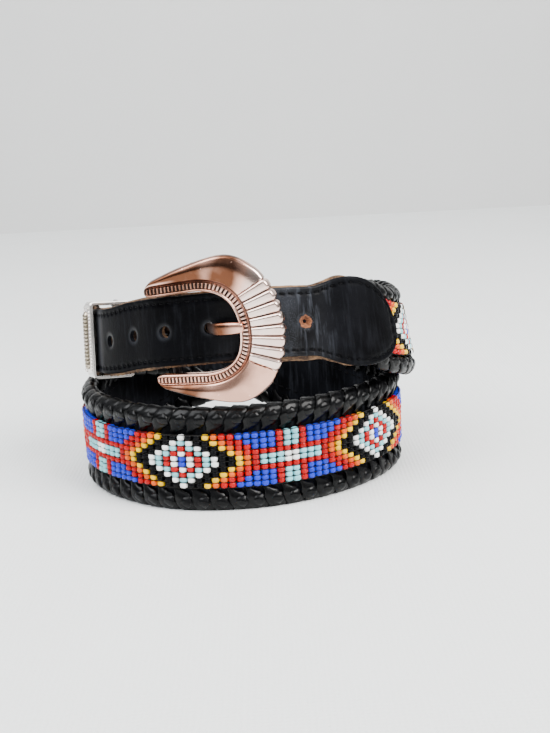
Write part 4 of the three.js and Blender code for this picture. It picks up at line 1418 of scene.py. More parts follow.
@dataclass
class EdgeLacing:
    """Leather lace whipped and braided over one edge of the body."""

    edge: Edge
    core: CoreStrap
    pitch: float = 6.6
    lace_width: float = 5.9
    lace_thickness: float = 1.1
    leg_slant: float = 0.55
    braid_slant: float = -0.75
    slit: float = 10.9
    back_slit: float = 12.2
    front_depth: float = 2.75
    back_depth: float = -2.45
    steps: int = 18
    leg_tilt: float = 0.6
    braid_tilt: float = -0.3
    braid_back: float = 5.2
    braid_reach: tuple[float, float] = (0.17, 0.62)
    braid_width: float = 4.13
    seed: int = 21

    # The lace's section, across it and up from its middle, as shares of its width and its thickness
    SECTION = (
        (-0.5, -0.05), (-0.44, 0.34), (-0.18, 0.5), (0.15, 0.54),
        (0.42, 0.42), (0.5, 0.05), (0.36, -0.3), (-0.36, -0.3),
    )

    def section(self, share: Array) -> tuple[Array, Array]:
        """Follows the edge from the slit in front, over the rim, to the slit behind.

        Args:
            share: how far along, from 0 in front to 1 behind.

        Returns:
            The places out of and across the belt, and the run in millimetres.
        """
        crest = BODY_WIDTH / 2 - self.lace_thickness * 0.62
        shoulder = crest - 3.1
        turn = np.linspace(0, math.pi, 15)
        middle = (self.front_depth + self.back_depth) / 2
        reach = (self.front_depth - self.back_depth) / 2
        arc = rows_of(middle + reach * np.cos(turn), shoulder + (crest - shoulder) * np.sin(turn))
        line = np.concatenate([
            [[CORE_THICKNESS / 2 + 0.35, self.slit], [self.front_depth - 0.35, self.slit + 1.6]],
            arc,
            [[self.back_depth + 0.3, self.back_slit + 1.2], [-CORE_THICKNESS / 2 - 0.3, self.back_slit]],
        ])
        run = run_along(line)
        at = share * run[-1]
        place = rows_of(np.interp(at, run, line[:, 0]), np.interp(at, run, line[:, 1]))
        return place, at

    def strand(
        self, length: float, start: float, end: float, slant: float, lift: Array, width: float, tilt: float
    ) -> Array:
        """Draws one strand of lace in the flat.

        Args:
            length: where the strand starts along the belt.
            start: share of the way over the edge where it starts.
            end: share where it ends.
            slant: how far it runs back along the belt for each millimetre over the edge.
            lift: height over the lace below at each step.
            width: the lace's width.
            tilt: how much one side of the lace stands up over the other.

        Returns:
            Closed rings of flat places.
        """
        share = np.linspace(start, end, self.steps)
        place, run = self.section(share)
        ahead = np.gradient(place, axis=0)
        ahead = unit(ahead)
        normal = rows_of(ahead[:, 1], -ahead[:, 0])
        centre = rows_of(length - slant * (run - run[0]), *(place + normal * lift[:, None]).T)
        up = rows_of(0, *normal.T)
        heading = unit(np.gradient(centre, axis=0))
        side = unit(np.cross(up, heading))
        from_end = np.minimum(np.arange(self.steps), np.arange(self.steps)[::-1])
        taper = np.clip(from_end / 3, 0.45, 1)[:, None, None]
        aside, above = np.array(self.SECTION).T
        beside = side[:, None, :] * (aside * width)[None, :, None] * taper
        over = up[:, None, :] * (above * self.lace_thickness + aside * tilt)[None, :, None]
        return centre[:, None, :] + beside + over

    def strands(self) -> list[Array]:
        """Returns every strand of the edge, legs first and then the braid."""
        rng = np.random.default_rng(self.seed + self.edge.value)
        body = ROUTE.body_end - ROUTE.body_start
        count = round((body - 6) / self.pitch)
        starts = ROUTE.body_start + 5 + (np.arange(count) + 0.5) * (body - 7) / count
        share = np.linspace(0, 1, self.steps)
        over_rim = smoothstep(share, 0.38, 0.55) * (1 - smoothstep(share, 0.7, 0.85))
        leg_lift = 0.35 * np.sin(share * math.pi) + 0.5 * over_rim
        braid_lift = 0.95 * np.sin(np.clip(share * 1.9, 0, 1) * math.pi) - 0.15
        made = []
        for start in starts:
            shift = rng.normal(0, 0.18, 2)
            leg_slant, braid_slant = rng.normal(0, 0.035, 2) + (self.leg_slant, self.braid_slant)
            leg = self.strand(start + shift[0], 0, 1, leg_slant, leg_lift, self.lace_width, self.leg_tilt)
            start = start - self.braid_back + shift[1]
            shape = (braid_slant, braid_lift, self.braid_width, self.braid_tilt)
            made += [leg, self.strand(start, *self.braid_reach, *shape)]
        return made

    def make(self, finishes: Finishes) -> None:
        """Builds and dresses the lacing of this edge."""
        strands = np.array(self.strands())
        parts = strands.reshape(len(strands), -1, 3)
        pattern = loft("lace", strands[0])
        order = self.match(pattern, parts[0])
        count = len(parts)
        corners = parts[:, order]
        shrink = CORE_HALF * (1 - self.core.share(corners[:, :, 0])) * smoothstep(corners[:, :, 2], 9, 16)
        corners[:, :, 2] = (corners[:, :, 2] - shrink) * self.edge.value
        piece = copies(f"{self.edge.name.lower()}_edge_lacing", pattern, np.tile(np.eye(4), (count, 1, 1)))
        move_spots(piece, corners.reshape(-1, 3))
        if self.edge is Edge.LOWER:
            piece.data.flip_normals()
        lay_flat_piece(piece, 75)
        hand_over(piece, "lace_leather", finishes.lace, f"{self.edge.name.lower()}_lacing")

    @staticmethod
    def match(pattern: Piece, spots: Array) -> Array:
        """Returns which drawn point each of the pattern's corner points came from."""
        own = spots_of(pattern)
        gaps = np.linalg.norm(own[:, None, :] - spots[None, :, :], axis=2)
        return gaps.argmin(axis=1)


# The buckle, keeper and tip

class BucklePlane:
    """The buckle's own plane: x along it, y up the width and z out of the coil, in millimetres."""

    turn: float = 9.0
    tilt: float = 4.5
    pivot: float = 12.0

    def __init__(self) -> None:
        middle = ROUTE.length_at(PRONG_HOLE_AT) - BUCKLE_BEFORE_PRONG
        point, _, out, _ = (part[0] for part in ROUTE.frames(middle))
        place = np.eye(4)
        place[:3, :3] = rows_of(unit(np.cross(UP, out)), UP, out)
        place[:3, 3] = point
        swung = turning(self.tilt, 2) @ turning(-self.turn, 1)
        self.matrix = place @ shifting((self.pivot, 0, 0)) @ swung @ shifting((-self.pivot, 0, 0))
        self.fold_radius = BAR_DIAMETER / 2 + GAP + BILLET_THICKNESS / 2
        point, _, out, _ = (part[0] for part in ROUTE.frames(middle + BAR_SHARE * BUCKLE_LENGTH))
        self.bar = point + out * (STRAP_BACK - 2 * GAP - self.fold_radius - BILLET_THICKNESS / 2)
        self.bar_axis = self.matrix[:3, 1]
        self.bar_local = self.local(self.bar)
        self.hole_local = self.local(ROUTE.frames(ROUTE.length_at(PRONG_HOLE_AT))[0][0])

    def local(self, point: Array) -> Array:
        """Returns a point of the coil in the buckle's plane."""
        return (np.linalg.inv(self.matrix) @ np.append(point, 1))[:3]

    def place(self, piece: Piece) -> None:
        """Moves a piece drawn in the buckle's plane to its place, in metres."""
        spots = spots_of(piece)
        move_spots(piece, (self.turned(spots) + ROUTE.shift) * MM)

    def turned(self, spots: Array) -> Array:
        """Returns points of the buckle's plane in the coil's millimetres."""
        return spots @ self.matrix[:3, :3].T + self.matrix[:3, 3]


@dataclass
class CastBuckle:
    """The cast frame: domed lobes, a milled border round its opening and a fan of flutes."""

    plane: BucklePlane
    height: float = 54.0
    length: float = BUCKLE_LENGTH
    thickness: float = 2.6
    opening_height: float = 30.0
    opening_length: float = 35.0
    stand_off: float = 1.3
    bar_diameter: float = BAR_DIAMETER
    flutes: int = 8
    ring_shift: float = 0.8
    corner_fill: float = 0.06
    arm_slope: float = 0.045
    flute_pitch: float = 6.6
    fan_back: float = 7.4
    fan_reach: float = 39.0
    fan_turn: float = 1.2
    fan_limit: float = 1.2
    rib_pitch: float = 1.4
    rim_low: float = 0.6
    bar_ends: float = 9.0
    lug_width: float = 3.0
    dome: float = 1.5
    along: int = 520
    ladder_start: float = 1.15
    ladder_end: float = 3.3
    border_end: float = 4.15

    # Upper half of the outer edge: shares of half the length and half the height
    EDGE = ((-1, 0.66), (-0.95, 0.72), (-0.36, 0.91), (0.24, 1), (0.63, 0.81), (0.8, 0.57), (0.85, 0.28))

    def __post_init__(self) -> None:
        self.back = FACE_OUTER + GAP + self.stand_off
        self.front = self.back + self.thickness
        self.inner = self.opening_height / 2
        self.middle = self.opening_length - self.length / 2 - self.inner - self.ring_shift
        self.left = 0.4 - self.length / 2

    def outer_line(self) -> Array:
        """Returns the frame's outer edge as a close line of points, from the upper arm to the lower."""
        upper = np.array(self.EDGE) * (self.length / 2, self.height / 2)
        stops = np.concatenate([upper, (upper * (1, -1))[::-1]])
        spans = len(stops) - 1
        return through(stops, np.linspace(0, spans, 24 * spans + 1))

    def stations(self) -> tuple[Array, Array, Array, Array]:
        """Walks round the frame from the upper arm's end to the lower's.

        Returns:
            Points on the inner edge, directions towards the outer edge, the width there, and the run
            along the border's middle.
        """
        arm = self.middle - self.left
        ring = self.inner + (self.ladder_start + self.ladder_end) / 2
        total = 2 * arm + math.pi * ring
        run = np.linspace(0, total, self.along)
        on_upper, on_lower = run < arm, run > total - arm
        angle = math.pi / 2 - (run - arm) / ring
        angle = np.where(on_upper, math.pi / 2, np.where(on_lower, -math.pi / 2, angle))
        x = np.where(on_upper, self.left + run, np.where(on_lower, self.left + total - run, self.middle))
        towards = rows_of(np.cos(angle), np.sin(angle))
        fill = self.inner * (1 + self.corner_fill * np.sin(2 * angle) ** 2)
        fill = fill - self.arm_slope * np.maximum(self.middle - x, 0)
        start = rows_of(x, np.zeros_like(x)) + towards * fill[:, None]
        line = self.outer_line()
        upper_line = line[: len(line) // 2]
        flat_part = upper_line[upper_line[:, 0] < self.middle]
        round_part = line[line[:, 0] >= self.middle]
        reach = np.hypot(round_part[:, 0] - self.middle, round_part[:, 1])
        swing = np.arctan2(round_part[:, 1], round_part[:, 0] - self.middle)
        round_width = np.interp(angle, swing[::-1], reach[::-1]) - fill
        arm_width = np.interp(x, flat_part[:, 0], flat_part[:, 1]) - fill
        width = np.where(on_upper | on_lower, arm_width, round_width)
        return start, towards, width, run

    def flute_share(self, angle: Array, radius: Array) -> tuple[Array, Array, Array]:
        """Finds where points lie in the fan, whose flutes spread from a point behind the opening's middle.

        Args:
            angle: the points' angles about the opening's middle.
            radius: their distances from it.

        Returns:
            How far across its flute each point is, from -1 to 1, whether it is in the fan, and its fan angle.
        """
        swing = np.arctan2(radius * np.sin(angle), radius * np.cos(angle) + self.fan_back)
        swing = swing - math.radians(self.fan_turn)
        place = swing / math.radians(self.flute_pitch) + self.flutes / 2
        inside = (place > 0) & (place < self.flutes) & (np.abs(angle) < self.fan_limit)
        return (place - np.floor(place)) * 2 - 1, inside, swing

    def fan_radius(self, angle: Array) -> tuple[Array, Array]:
        """Returns how far the scalloped fan reaches along each line, and whether the line ends in the fan."""
        radius = np.full_like(angle, self.fan_reach - self.fan_back)
        for _ in range(6):
            across, inside, swing = self.flute_share(angle, radius)
            tip = self.fan_reach - 0.5 * (swing / 0.42) ** 2
            tip = tip - 1.9 * (1 - np.sqrt(np.clip(1 - (np.abs(across) * 0.97) ** 2.6, 0, 1)))
            x = np.sqrt(np.maximum(tip**2 - (radius * np.sin(angle)) ** 2, 0)) - self.fan_back
            eased = 0.4 * radius + 0.6 * x / np.maximum(np.cos(angle), 0.2)
            radius = np.where(np.abs(angle) < self.fan_limit, eased, radius)
        return radius, inside

    def make(self, finishes: Finishes) -> None:
        """Builds and dresses the frame and its bar."""
        start, towards, width, run = self.stations()
        angle = np.arctan2(towards[:, 1], towards[:, 0])
        reach, in_fan = self.fan_radius(angle)
        width = np.where(in_fan, reach - np.hypot(start[:, 0] - self.middle, start[:, 1]), width)
        border = np.linspace(0, self.border_end, 27)[1:]
        shares = np.linspace(0, 1, 27)[1:]
        shares = 1 - (1 - shares) ** 1.35
        end_round = round_end(np.minimum(run, run[-1] - run), 3.4)
        rings, recesses, tones = [], [], []
        for spot, way, wide, at, ease, swing in zip(start, towards, width, run, end_round, angle):
            squeeze = min(1.0, (wide - 0.5) / self.border_end)
            edge = self.border_end * squeeze
            offsets = np.concatenate([[0], border * squeeze, edge + (wide - edge) * shares])
            level, recess = self.relief(offsets / squeeze, at, wide, offsets, swing)
            low = self.back + self.rim_low
            level = low + (level - low) * (0.45 + 0.55 * ease)
            middle = min(wide, self.border_end) / 2
            squeezed = middle + (offsets - middle) * (0.12 + 0.88 * ease)
            front = np.concatenate([(spot + way * squeezed[:, None]), level[:, None]], axis=1)
            back_offsets = squeezed[[-1, -6, len(squeezed) // 2, 6, 0]]
            back_level = self.back + np.array([0.35, 0, 0, 0, 0.35])
            back = np.concatenate([(spot + way * back_offsets[:, None]), back_level[:, None]], axis=1)
            rings.append(np.concatenate([front, back]))
            recesses.append(np.concatenate([recess, np.zeros(5)]))
            beyond = self.beyond(offsets, wide)
            tone = self.tone(spot[0], swing, beyond, offsets > self.border_end)
            tones.append(np.append(tone, np.full(5, 0.8)))
        drawn = np.array(rings)
        frame_piece = loft("buckle_casting", drawn)
        for label, values in (("recess", recesses), ("tone", tones)):
            found = self.nearest_values(frame_piece, drawn.reshape(-1, 3), np.concatenate(values))
            note(frame_piece, label, found)
        self.plane.place(frame_piece)
        smooth(frame_piece, 55)
        hand_over(frame_piece, "copper_metal", finishes.copper, "buckle_frame")
        self.make_bar(finishes)

    def tone(self, x: float, swing: float, beyond: Array, is_out: Array) -> Array:
        """Paints reflections into the metal's tone, from 0 for a pale painted highlight to 1 for a brown
        painted reflection.

        Args:
            x: the line's start along the buckle.
            swing: the line's angle.
            beyond: shares of the way from the border to the outer edge.
            is_out: which points lie outside the border.

        Returns:
            The tone of each point.
        """
        fan = math.radians(32)
        arm = min((x - self.left) / (self.middle - self.left), 1.0)
        way = arm + max(math.pi / 2 - abs(swing), 0) / (math.pi / 2 - fan)
        # Painted reflections: a pale fan, a brown upper lobe with a pale painted streak along its arm that
        # turns pale near the fan, and a brown lower arm that turns lighter at its lobe
        if abs(swing) < fan:
            return np.where(is_out, 0.08 + 0.1 * beyond**4, 0.3)
        if swing > 0:
            body = 1.0 - 0.75 * smoothstep(way + (beyond - 0.5) * 0.12, 1.6, 1.95)
            sweep = 0.3 * bell(way, 1.5, 0.09) - 0.2 * bell(way, 1.25, 0.1)
            painted_highlight_streak = 0.75 * bell(beyond, 0.16, 0.13) * (1 - smoothstep(way, 0.15, 0.75))
            rim = 0.12 * smoothstep(beyond, 0.6, 0.95)
            border = 0.9 - 0.5 * smoothstep(way, 1.1, 1.6)
            return np.where(is_out, np.clip(body + sweep - painted_highlight_streak - rim, 0.05, 1), border)
        body = 0.97 - 0.42 * smoothstep(way + (beyond - 0.5) * 0.25, 0.78, 1.08)
        return np.where(is_out, body, 0.5)

    @staticmethod
    def nearest_values(piece: Piece, spots: Array, values: Array) -> Array:
        """Returns the drawn points' values in the order of a piece's corner points."""
        keys = {tuple(np.round(spot, 3)): value for spot, value in zip(spots, values)}
        return np.array([keys.get(tuple(np.round(spot, 3)), 0.0) for spot in spots_of(piece)])

    def beyond(self, offsets: Array, wide: float) -> Array:
        """Returns shares of the way from the border to the outer edge."""
        return np.clip((offsets - self.border_end) / max(wide - self.border_end, 0.5), 0, 1)

    def relief(
        self, border: Array, run: float, wide: float, offsets: Array, swing: float
    ) -> tuple[Array, Array]:
        """Gives the casting's height and how deep in a recess it is, from the inner edge outwards.

        Args:
            border: distances from the opening, as the border's drawing has them.
            run: distance along the border.
            wide: the frame's width here.
            offsets: true distances from the opening.
            swing: the line's angle.

        Returns:
            Heights and recess shares.
        """
        rim = 0.45 * np.sqrt(np.clip(1 - ((border - 0.45) / 0.6) ** 2, 0, 1))
        inner_groove = bell(border, 1.1, 0.13)
        ladder_top = 1 - smoothstep(border, self.ladder_end - 0.2, self.ladder_end)
        in_ladder = smoothstep(border, self.ladder_start, self.ladder_start + 0.2) * ladder_top
        wave = abs((run / self.rib_pitch) % 1 - 0.5) * 2
        rib = smoothstep(wave, 0.3, 0.62)
        outer_groove = bell(border, 3.38, 0.11)
        line_rim = 0.42 * bell(border, 3.66, 0.2, 4)
        lobe_groove = bell(border, 4.02, 0.16)
        beyond = self.beyond(offsets, wide)
        is_out = border > self.border_end
        level = rim + in_ladder * (0.34 * rib - 0.3 * (1 - rib)) + line_rim
        level -= 0.35 * inner_groove + 0.3 * outer_groove + 0.4 * lobe_groove
        recess = np.clip(inner_groove * 0.9 + outer_groove * 0.9 + lobe_groove + in_ladder * (1 - rib), 0, 1)
        flute, fan, _ = self.flute_share(np.full_like(offsets, swing), offsets + self.inner)
        groove = smoothstep(np.abs(flute), 0.8, 0.95)
        crown = 0.85 * (1 - np.abs(flute) ** 5) * (1 - 0.35 * beyond**3) - 0.6 * groove + 0.25
        bulge = np.sin(np.clip(beyond * 1.3, 0, 1) * math.pi / 2) * 0.8
        smooth_lobe = self.dome * bulge * np.clip((wide - self.border_end) / 5.0, 0, 1)
        lobe = np.where(fan, crown, smooth_lobe)
        recess = np.where(is_out & fan, np.maximum(groove, recess), recess)
        edge_round = round_end(wide - offsets, 0.9)
        sweep = np.clip(1 - (wide - offsets) / max(0.8 * (wide - self.border_end), 0.5), 0, 1)
        edge_round = edge_round * (1 - 0.36 * sweep**2 * (1 - fan) * is_out)
        top = self.front + np.where(is_out, lobe, level)
        low = self.back + self.rim_low
        return low + (top - low) * edge_round * (0.55 + 0.45 * round_end(offsets, 0.35)), recess

    def make_bar(self, finishes: Finishes) -> None:
        """Builds the bar that carries the strap, with the lugs that hold it."""
        span = self.height - 2 * self.bar_ends
        x, z = self.plane.bar_local[0], self.plane.bar_local[2]
        turn = circle(20)
        radius = self.bar_diameter / 2
        ahead, aside = radius * np.cos(turn), radius * np.sin(turn)
        rings = [
            rows_of(x + size * ahead, side * (span / 2 + past), z + size * aside)
            for side, past, size in ((-1, 1.2, 0.8), (-1, 0.9, 1), (1, 0.9, 1), (1, 1.2, 0.8))
        ]
        parts = [loft("bar", np.array(rings))]
        rise = self.front - 1 - (z - radius)
        for side in (-1, 1):
            place = (x, side * span / 2, z - radius + rise / 2)
            parts.append(block(place, (self.bar_diameter, self.lug_width, rise), 0.5))
        piece = joined("buckle_bar", parts)
        note_even(piece, recess=0.95, tone=1.0)
        self.plane.place(piece)
        smooth(piece)
        hand_over(piece, "copper_metal", finishes.copper, "buckle_frame")


@dataclass
class Prong:
    """The tongue that turns on the bar, comes up through a hole and rests on the frame."""

    buckle: CastBuckle
    width: float = 3.7
    thickness: float = 2.2

    def make(self, finishes: Finishes) -> None:
        """Builds and dresses the prong."""
        plane, buckle = self.buckle.plane, self.buckle
        bar, hole = plane.bar_local, plane.hole_local
        rest = -buckle.length / 2 + buckle.opening_length
        under = self.thickness / 2 + GAP
        top = buckle.front + 0.6 + under
        stops = np.array([
            (bar[0] + 1.6 + GAP + 0.6, bar[2] - 0.4),
            (bar[0] + 6, bar[2] + 0.2),
            (hole[0] - 4, hole[2] + STRAP_BACK - under - 1.2),
            (hole[0] - 1.1, hole[2] + STRAP_BACK - 0.6),
            (hole[0] + 0.5, hole[2] + FACE_OUTER + 0.3),
            (hole[0] + 3.6, top - under + 0.3),
            (rest - 1.5, top - 0.15),
            (rest + 1.4, top - 0.1),
        ])
        count = 60
        line = through(stops, np.linspace(0, len(stops) - 1.0001, count))
        ahead = unit(np.gradient(line, axis=0))
        turn = circle(16)
        side, lift = (np.sign(way) * np.abs(way) ** 0.7 for way in (np.cos(turn), np.sin(turn)))
        side = side * self.width / 2
        lift = lift * self.thickness / 2 * 0.9
        place = np.linspace(0, 1, count)
        taper = 1 + 0.28 * smoothstep(place, 0.62, 0.74) - 0.42 * smoothstep(place, 0.76, 1)
        taper *= np.sqrt(np.clip(1 - (np.clip(place - 0.955, 0, 1) / 0.045) ** 2, 0.02, 1))
        side = side * taper[:, None]
        lift = lift * taper[:, None]
        rings = rows_of(line[:, :1] - ahead[:, 1:] * lift, hole[1] + side, line[:, 1:] + ahead[:, :1] * lift)
        shank = loft("shank", rings)
        inner = buckle.bar_diameter / 2 + GAP
        upper = ((1.3, 1.2), (1.0, 1.5), (0, 1.3))
        section = [(wall, -half) for wall, half in upper[::-1]] + list(upper)
        walls, heights = np.array(section).T
        angle = circle(32)[:, None]
        radius = inner + walls
        loops = rows_of(bar[0] + radius * np.cos(angle), hole[1] + heights, bar[2] + radius * np.sin(angle))
        ring = loft("ring", loops, joined=True)
        piece = joined("prong", [shank, ring])
        along = spots_of(piece)[:, 0] - hole[0]
        # Painted shade: the prong is darker and browner where it comes up out of the hole
        note(piece, "recess", 0.9 * (1 - smoothstep(along, 1.5, 5)))
        note(piece, "tone", 1.0 - 0.5 * smoothstep(along, 5, 12))
        plane.place(piece)
        smooth(piece, 50)
        hand_over(piece, "copper_metal", finishes.copper, "buckle_prong")


@dataclass
class BuckleStrap:
    """The buckle-end strap: from its point on the beads to the bar, round it and a short way back."""

    plane: BucklePlane
    fold_run: float = 8.0
    fold_return: float = 26.0
    slot_length: float = 16.0
    slot_width: float = 4.2
    stitch_run: float = 52.0
    stitch_pitch: float = 3.2
    stitch_size: Spot = (1.15, 0.3, 0.36)

    def rows(self) -> tuple[Array, Array]:
        """Returns rows of the middle line, and rows of the way across with the half width as its length."""
        bar = self.plane.bar
        point = ROUTE.body_start + OVERLAY_SEAT
        bar_length = ROUTE.length_at(BAR_AT)
        spot, along, _, _ = (part[0] for part in ROUTE.frames(bar_length))
        bar_place = bar_length + float(np.dot(bar - spot, along))
        ahead_here = ROUTE.frames(bar_place)[1][0]
        axis = self.plane.bar_axis
        out = unit(np.cross(axis, ahead_here))
        ahead = unit(np.cross(out, axis))
        total = point - bar_place - self.fold_run
        from_point = SHAPE.stations(total, 2.0)
        places, _, outs, acrosses = ROUTE.frames(point - from_point)
        middles = [places + outs * SHAPE.out(from_point)[:, None]]
        halves = [acrosses * SHAPE.half(from_point)[:, None]]
        angles = np.linspace(0, math.pi, 17)[:, None]
        radius = self.plane.fold_radius
        middles.append(bar - ahead * radius * np.sin(angles) + out * radius * np.cos(angles))
        level = FACE_INNER - LAYER_GAP - BILLET_THICKNESS / 2
        back = np.array([self.fold_run, self.fold_run * 2, self.fold_return - 5, self.fold_return])
        places, _, outs, acrosses = ROUTE.frames(bar_place + back)
        middles.append(places + outs * (level + np.array([-0.5, 0, 0, 0]))[:, None])
        halves.append(np.tile(axis * BILLET_WIDTH / 2, (17, 1)))
        halves.append(acrosses * BILLET_WIDTH / 2)
        return np.concatenate(middles), np.concatenate(halves)

    def make(self, finishes: Finishes) -> None:
        """Builds and dresses the strap and its stitches."""
        middles, halves = self.rows()
        ahead = np.zeros_like(middles)
        ahead[1:-1] = middles[2:] - middles[:-2]
        ahead[0], ahead[-1] = middles[1] - middles[0], middles[-1] - middles[-2]
        out = unit(np.cross(halves, unit(ahead)))
        section = strap_rings(np.zeros(1), np.zeros(1), np.ones(1), 1.0, 20)[0]
        rings = (
            middles[:, None, :]
            + out[:, None, :] * (section[:, 1] * BILLET_THICKNESS)[None, :, None]
            + halves[:, None, :] * section[:, 2][None, :, None]
        )
        piece = loft("buckle_strap", rings)
        middle = (self.plane.bar_local[0], self.plane.hole_local[1], self.plane.bar_local[2])
        slot = block(middle, (self.slot_length, self.slot_width, self.slot_length))
        move_spots(slot, self.plane.turned(spots_of(slot)))
        cut(piece, slot)
        spots = spots_of(piece)
        nearest = np.array([np.argmin(np.linalg.norm(middles - spot, axis=1)) for spot in spots])
        run = run_along(middles)[nearest]
        note(piece, "flat", rows_of(run, 0 * run, spots[:, 2]) * MM)
        note_even(piece, wear=0.4, sheen=0.45)
        move_spots(piece, (spots + ROUTE.shift) * MM)
        smooth(piece)
        hand_over(piece, "strap_leather", finishes.strap, "buckle_billet")
        self.make_stitches(finishes)

    def make_stitches(self, finishes: Finishes) -> None:
        """Builds the stitches round the strap's point and along its edges."""
        point = ROUTE.body_start + OVERLAY_SEAT
        from_point = SHAPE.stations(self.stitch_run, 2.0)
        places, headings = SHAPE.stitch_places(point, -1, from_point, self.stitch_pitch)
        stitches = stitch_row("buckle_strap_stitches", places + 0.02 * OUTWARD, headings, self.stitch_size)
        lay_flat_piece(stitches, 80)
        hand_over(stitches, "strap_leather", finishes.stitch)


@dataclass
class Keeper:
    """The flat metal loop beside the buckle, with a raised plate and beaded edges on its outer face."""

    length: float = 11.0
    wall: float = 1.5
    head_room: float = 1.0
    bulge: float = 0.6
    depth: float = 14.0
    barrel_rise: float = 1.75
    barrel_half: float = 1.9
    notch_pitch: float = 1.5
    bead: float = 0.62
    bead_pitch: float = 1.35
    bead_inset: float = 1.0
    barrel_gap: float = 2.2

    def rounded(self, low: Array, high: Array, corner: float, steps: int = 8) -> Array:
        """Returns a rounded rectangle as points, corner by corner."""
        points = []
        for number, ways in enumerate(((1, 1), (-1, 1), (-1, -1), (1, -1))):
            centre = np.where(np.array(ways) > 0, high, low) - corner * np.array(ways)
            turn = np.linspace(number * math.pi / 2, (number + 1) * math.pi / 2, steps)
            points.append(centre + corner * rows_of(np.cos(turn), np.sin(turn)))
        return np.concatenate(points)

    def make(self, finishes: Finishes) -> None:
        """Builds and dresses the keeper."""
        top = BILLET_WIDTH / 2 + 0.6 + self.head_room
        bottom = -(BILLET_WIDTH / 2 + 0.6 + GAP)
        front = FACE_OUTER + GAP + self.bulge
        back = front - self.depth
        inner = self.rounded(np.array([back, bottom]), np.array([front, top]), 0.6)
        outer = self.rounded(np.array([back, bottom]) - self.wall, np.array([front, top]) + self.wall, 1.6)
        half = self.length / 2
        rings = []
        for near, far in zip(inner, outer):
            thick = np.linalg.norm(far - near)
            way = (far - near) / thick
            upper = ((0.3, half), (thick - 0.4, half), (thick, half - 0.4))
            section = [(0, -half + 0.3), (0, half - 0.3), *upper]
            section += [(depth, -along) for depth, along in upper[::-1]]
            rings.append([(along, *(near + way * depth)) for depth, along in section])
        face = front + self.wall
        middle = (top + bottom) / 2
        parts = [
            loft("loop", np.array(rings), joined=True),
            block((0, face + 0.1, middle), (2 * half - 3.4, 0.9, top - bottom - 1.6), 0.35),
            self.barrel(face + 0.4, bottom + self.barrel_gap, top - self.barrel_gap),
        ]
        count = int((top - bottom - 2.4) / self.bead_pitch)
        heights = middle + (np.arange(count) - (count - 1) / 2) * self.bead_pitch
        sides = np.repeat([-1, 1], count) * (half - self.bead_inset)
        places = rows_of(sides, face + 0.12, np.tile(heights, 2))
        parts.append(copies("keeper beads", ball(10, 6, self.bead), move_matrices(places, *np.eye(3))))
        piece = joined("belt_keeper", parts)
        spots = spots_of(piece)
        recess = 0.85 * bell(np.abs(spots[:, 0]), half - self.bead_inset, 0.5) * bell(spots[:, 1], face, 0.2)
        recess = np.where(spots[:, 1] < back + 0.1, 0.1, recess)
        note(piece, "recess", recess)
        on_barrel = (np.abs(spots[:, 0]) < self.barrel_half + 0.05) & (spots[:, 1] > face + 0.38)
        milled = np.abs(((spots[:, 2] - bottom - self.barrel_gap) / self.notch_pitch) % 1 - 0.5) * 2
        recess = np.where(on_barrel, 0.8 * smoothstep(milled, 0.6, 0.9), recess)
        ornament = np.where(on_barrel, 1.0, 0.25 * smoothstep(spots[:, 1], face + 0.2, face + 0.5))
        # Painted shade: the inside of the loop takes a brown tone
        inside = (spots[:, 1] < front + 0.05) & (np.abs(spots[:, 2] - middle) < (top - bottom) / 2 + 0.1)
        note(piece, "tone", np.where(inside, 0.75, 0.08 + 0.75 * ornament))
        place, along, out, _ = (part[0] for part in ROUTE.frames(ROUTE.length_at(KEEPER_AT)))
        up = np.cross(along, out) * -1
        up = up if up[2] > 0 else -up
        laid = place + spots[:, :1] * along + spots[:, 1:2] * out + spots[:, 2:] * up
        move_spots(piece, (laid + ROUTE.shift) * MM)
        face_outwards(piece)
        smooth(piece, 35)
        hand_over(piece, "silver_metal", finishes.silver, "keeper")

    def barrel(self, base: float, low: float, high: float) -> Piece:
        """Draws the raised ornament: a half round bar with milled notches and rounded ends.

        Args:
            base: how far out it starts.
            low: its lower end across the belt.
            high: its upper end.

        Returns:
            The ornament, closed.
        """
        heights = np.linspace(low, high, 150)
        near_end = np.minimum(heights - low, high - heights)
        size = np.sqrt(np.clip(1 - (1 - np.clip(near_end / 2.0, 0, 1)) ** 2, 0.03, 1))
        milled = np.abs(((heights - low) / self.notch_pitch) % 1 - 0.5) * 2
        turn = np.linspace(0, math.pi, 13)
        notched = 1 - 0.16 * smoothstep(milled, 0.55, 0.9)
        aside = self.barrel_half * size[:, None] * np.cos(turn)
        rise = self.barrel_rise * (size * notched)[:, None] * np.sin(turn)
        return loft("barrel", rows_of(aside, base + rise, heights[:, None]))


